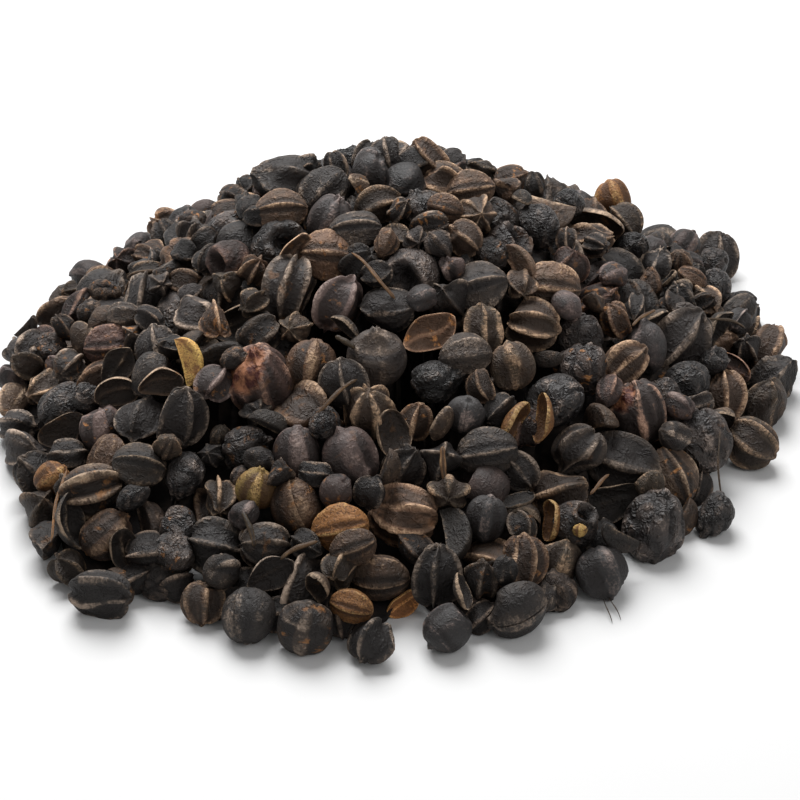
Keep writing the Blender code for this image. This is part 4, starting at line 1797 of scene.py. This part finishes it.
@dataclass
class BerryHeap:
    """All berries, husks and small berries, one piece for each kind."""

    balls: list[Ball]
    grower: Grower = field(default_factory=Grower)
    most_triangles: int = 195_000

    def build(self) -> list[bpy.types.Object]:
        """Shapes every thing and joins the things of a kind.

        Returns:
            The pieces.
        """
        rng = random.Random(self.grower.seed)
        spheres = {fineness: Sphere(fineness) for fineness in Fineness}
        tops = PACKED_BOX[1][2] * 1.02
        pieces: dict[str, Piece] = {}
        for ball in self.balls:
            own = random.Random(rng.random())
            if ball.depth > HIDDEN_FROM:
                continue
            if ball.pour == 3 and not ball.chosen and own.random() < self.grower.left_out:
                continue
            thing = self.grower.thing_for(ball, own)
            fineness = self.fineness_of(ball, thing)
            skin = self.grower.shape(thing, spheres[fineness], own)
            piece = self.piece_for(pieces, thing.kind, fineness)
            piece.add(thing, spheres[fineness], skin, self.grower.grow[ball.pour], tops, own)
        made = []
        for piece in pieces.values():
            kind = next(kind for kind in Kind if piece.name.startswith(kind.value))
            finish, slot = FINISHES[kind]
            whole = piece.join(self.material_of(finish))
            made.append(whole)
        return made

    def material_of(self, finish: DriedSkin) -> bpy.types.Material:
        """A finish's material, made once."""
        return bpy.data.materials.get(finish.name) or finish.material()

    def fineness_of(self, ball: Ball, thing: Thing) -> Fineness:
        """How finely a thing is cut: the largest and uppermost are cut finest."""
        if thing.kind is Kind.UNDER:
            return Fineness.ROUGH
        if ball.chosen or ball.pour <= 1:
            return Fineness.FINE
        return Fineness.MIDDLE if ball.pour == 2 else Fineness.COARSE

    def piece_for(self, pieces: dict[str, Piece], kind: Kind, fineness: Fineness) -> Piece:
        """The kind's piece, or its next one where the last is full.

        Args:
            pieces: The pieces so far, by name.
            kind: The kind.
            fineness: How finely a thing is cut.

        Returns:
            The piece that the thing goes into.
        """
        segments, rings = fineness.value
        more = 2 * segments * (rings - 1)
        number = 1
        while True:
            name = kind.value if number == 1 else f"{kind.value}_{number}"
            piece = pieces.setdefault(name, Piece(name))
            held = sum(2 * len(part.data.polygons) for part in piece.parts)
            if held + more < self.most_triangles:
                return piece
            number += 1


@dataclass
class StalkBundle:
    """The loose stalks and hairs."""

    stalks: tuple[Stalk, ...] = STALKS
    seed: int = 5
    pattern: float = 300.0

    def build(self) -> bpy.types.Object:
        """Builds all stalks as one piece.

        Returns:
            The piece.
        """
        rng = random.Random(self.seed)
        sphere = Sphere(Fineness.ROUGH)
        piece = Piece("stalks")
        for stalk in self.stalks:
            skin = stalk.skin(sphere, rng)
            place = skin.points * self.pattern
            skin.points += (*HEAP_MIDDLE, 0.0)
            piece.lay(skin, sphere, stalk.light, stalk.warm, place)
        whole = piece.join(DRY_STALK.material())
        return whole


@dataclass
class Core:
    """The dark mound in the heap, glimpsed between the berries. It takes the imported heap's place."""

    balls: list[Ball]
    outline: Outline = field(default_factory=Outline)
    below: float = 0.0052
    inset: float = 0.955
    clearance: float = 0.0016
    lowest: float = 0.0012
    foot: float = 0.0003
    segments: int = 240
    rings: int = 90
    batch: int = 2000

    def tops(self, x: np.ndarray, y: np.ndarray) -> np.ndarray:
        """How high the heap's balls reach over and around each point, chosen things left out.

        Args:
            x: The points' places along X.
            y: Their places along Y.

        Returns:
            The lowest such height for each point.
        """
        kept = [ball for ball in self.balls if ball.depth < LEFT_FREE and not ball.chosen]
        rows = np.array([(*ball.middle, ball.radius) for ball in kept])
        lowest = np.full(len(x), 1.0)
        for away_x, away_y in np.vstack([Pile.COMPASS, (0, 0)]) * self.clearance:
            for start in range(0, len(x), self.batch):
                part = slice(start, start + self.batch)
                tops = height_of_rest(rows, x[part] + away_x, y[part] + away_y, 0.0)
                lowest[part] = np.minimum(lowest[part], tops)
        return lowest

    def reach(self, bearing: float) -> float:
        """How far the mound reaches. It keeps out of the free bays.

        Args:
            bearing: The direction, in radians.

        Returns:
            The distance from the origin.
        """
        reach = self.inset * self.outline.rim(math.degrees(bearing))
        for x, y, wide in BAYS:
            aside = (bearing - math.atan2(y, x)) * math.hypot(x, y)
            reach -= wide * MILLIMETRE * math.exp(-((aside / (1.3 * wide)) ** 2))
        return reach

    def build(self) -> bpy.types.Object:
        """Builds the mound from a ball.

        Returns:
            The mound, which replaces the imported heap.
        """
        mesh = round_mesh(self.segments, self.rings)
        for vert in mesh.verts:
            bearing = math.atan2(vert.co.y, vert.co.x)
            reach = math.hypot(vert.co.x, vert.co.y) * self.reach(bearing)
            vert.co.x = reach * math.cos(bearing) + HEAP_MIDDLE[0]
            vert.co.y = reach * math.sin(bearing) + HEAP_MIDDLE[1]
        places = np.array([vert.co[:2] for vert in mesh.verts])
        tops = self.tops(places[:, 0], places[:, 1]) - self.below
        for vert, top in zip(mesh.verts, tops):
            vert.co.z = max(float(top), self.lowest) if vert.co.z > -MILLIMETRE else self.foot
        bmesh.ops.recalc_face_normals(mesh, faces=mesh.faces)
        core = in_scene("core", into_data(mesh, "core"))
        core.data.materials.append(Shadowed().material())
        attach(core, BODY)
        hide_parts(HEAP_NODE)
        log.info("core: %d faces", len(core.data.polygons))
        return core


# ---------------------------------------------------------------- the stage


@dataclass
class Studio:
    """The table, the lights and the camera."""

    table_width: float = 6.0
    lift: float = 35.0
    distance: float = 0.405
    lens: float = 116.6
    aim: tuple[float, float, float] = (*HEAP_MIDDLE, 0.0)
    shift: tuple[float, float] = (0.00375, -0.00875)
    room: float = 0.34

    def build(self) -> None:
        """Builds them all."""
        self.table()
        self.lights()
        self.camera()

    def table(self) -> None:
        """A wide pale table top."""
        mesh = bmesh.new()
        bmesh.ops.create_grid(mesh, x_segments=2, y_segments=2, size=self.table_width / 2)
        table = in_scene("table", into_data(mesh, "table"))
        table.data.materials.append(TableTop().material())

    def lights(self) -> None:
        """Soft light from above and behind, filled from the front by a pale room."""
        world = bpy.data.worlds.new("pale_room")
        world.use_nodes = True
        sky = world.node_tree.nodes["Background"]
        sky.inputs["Color"].default_value = (1.0, 1.0, 1.0, 1)
        sky.inputs["Strength"].default_value = self.room
        bpy.context.scene.world = world
        self.panel("key", (-0.08, 0.30, 0.46), width=0.42, power=5.8)
        self.panel("fill", (0.45, -0.45, 0.65), width=0.50, power=1.5)

    def panel(self, name: str, place: tuple[float, float, float], width: float, power: float) -> None:
        """A square soft light that shines at the heap.

        Args:
            name: Its name.
            place: Where it hangs.
            width: Its side.
            power: Its strength, in watts.
        """
        lamp = bpy.data.lights.new(name, "AREA")
        lamp.size = width
        lamp.energy = power
        light = bpy.data.objects.new(name, lamp)
        light.location = place
        light.rotation_euler = (-Vector(place)).to_track_quat("-Z", "Y").to_euler()
        bpy.context.scene.collection.objects.link(light)

    def camera(self) -> None:
        """Looks down on the heap from the front."""
        data = bpy.data.cameras.new("camera")
        data.lens = self.lens
        data.sensor_width = 36.0
        data.shift_x, data.shift_y = self.shift
        data.clip_start = 0.01
        camera = bpy.data.objects.new("camera", data)
        lift = math.radians(self.lift)
        away = Vector((0.0, -math.cos(lift), math.sin(lift))) * self.distance
        camera.location = Vector(self.aim) + away
        camera.rotation_euler = (-away).to_track_quat("-Z", "Y").to_euler()
        bpy.context.scene.collection.objects.link(camera)
        bpy.context.scene.camera = camera


def main() -> None:
    """Builds the heap and its stage."""
    logging.basicConfig(level=logging.INFO, format="%(name)s: %(message)s")
    scene = bpy.context.scene
    scene.view_settings.view_transform = "Standard"
    balls = Pour().balls()
    log.info("%d balls", len(balls))
    BerryHeap(balls).build()
    StalkBundle().build()
    Core(balls).build()
    Studio().build()
    bpy.context.view_layer.update()


if __name__ == "__main__":
    main()
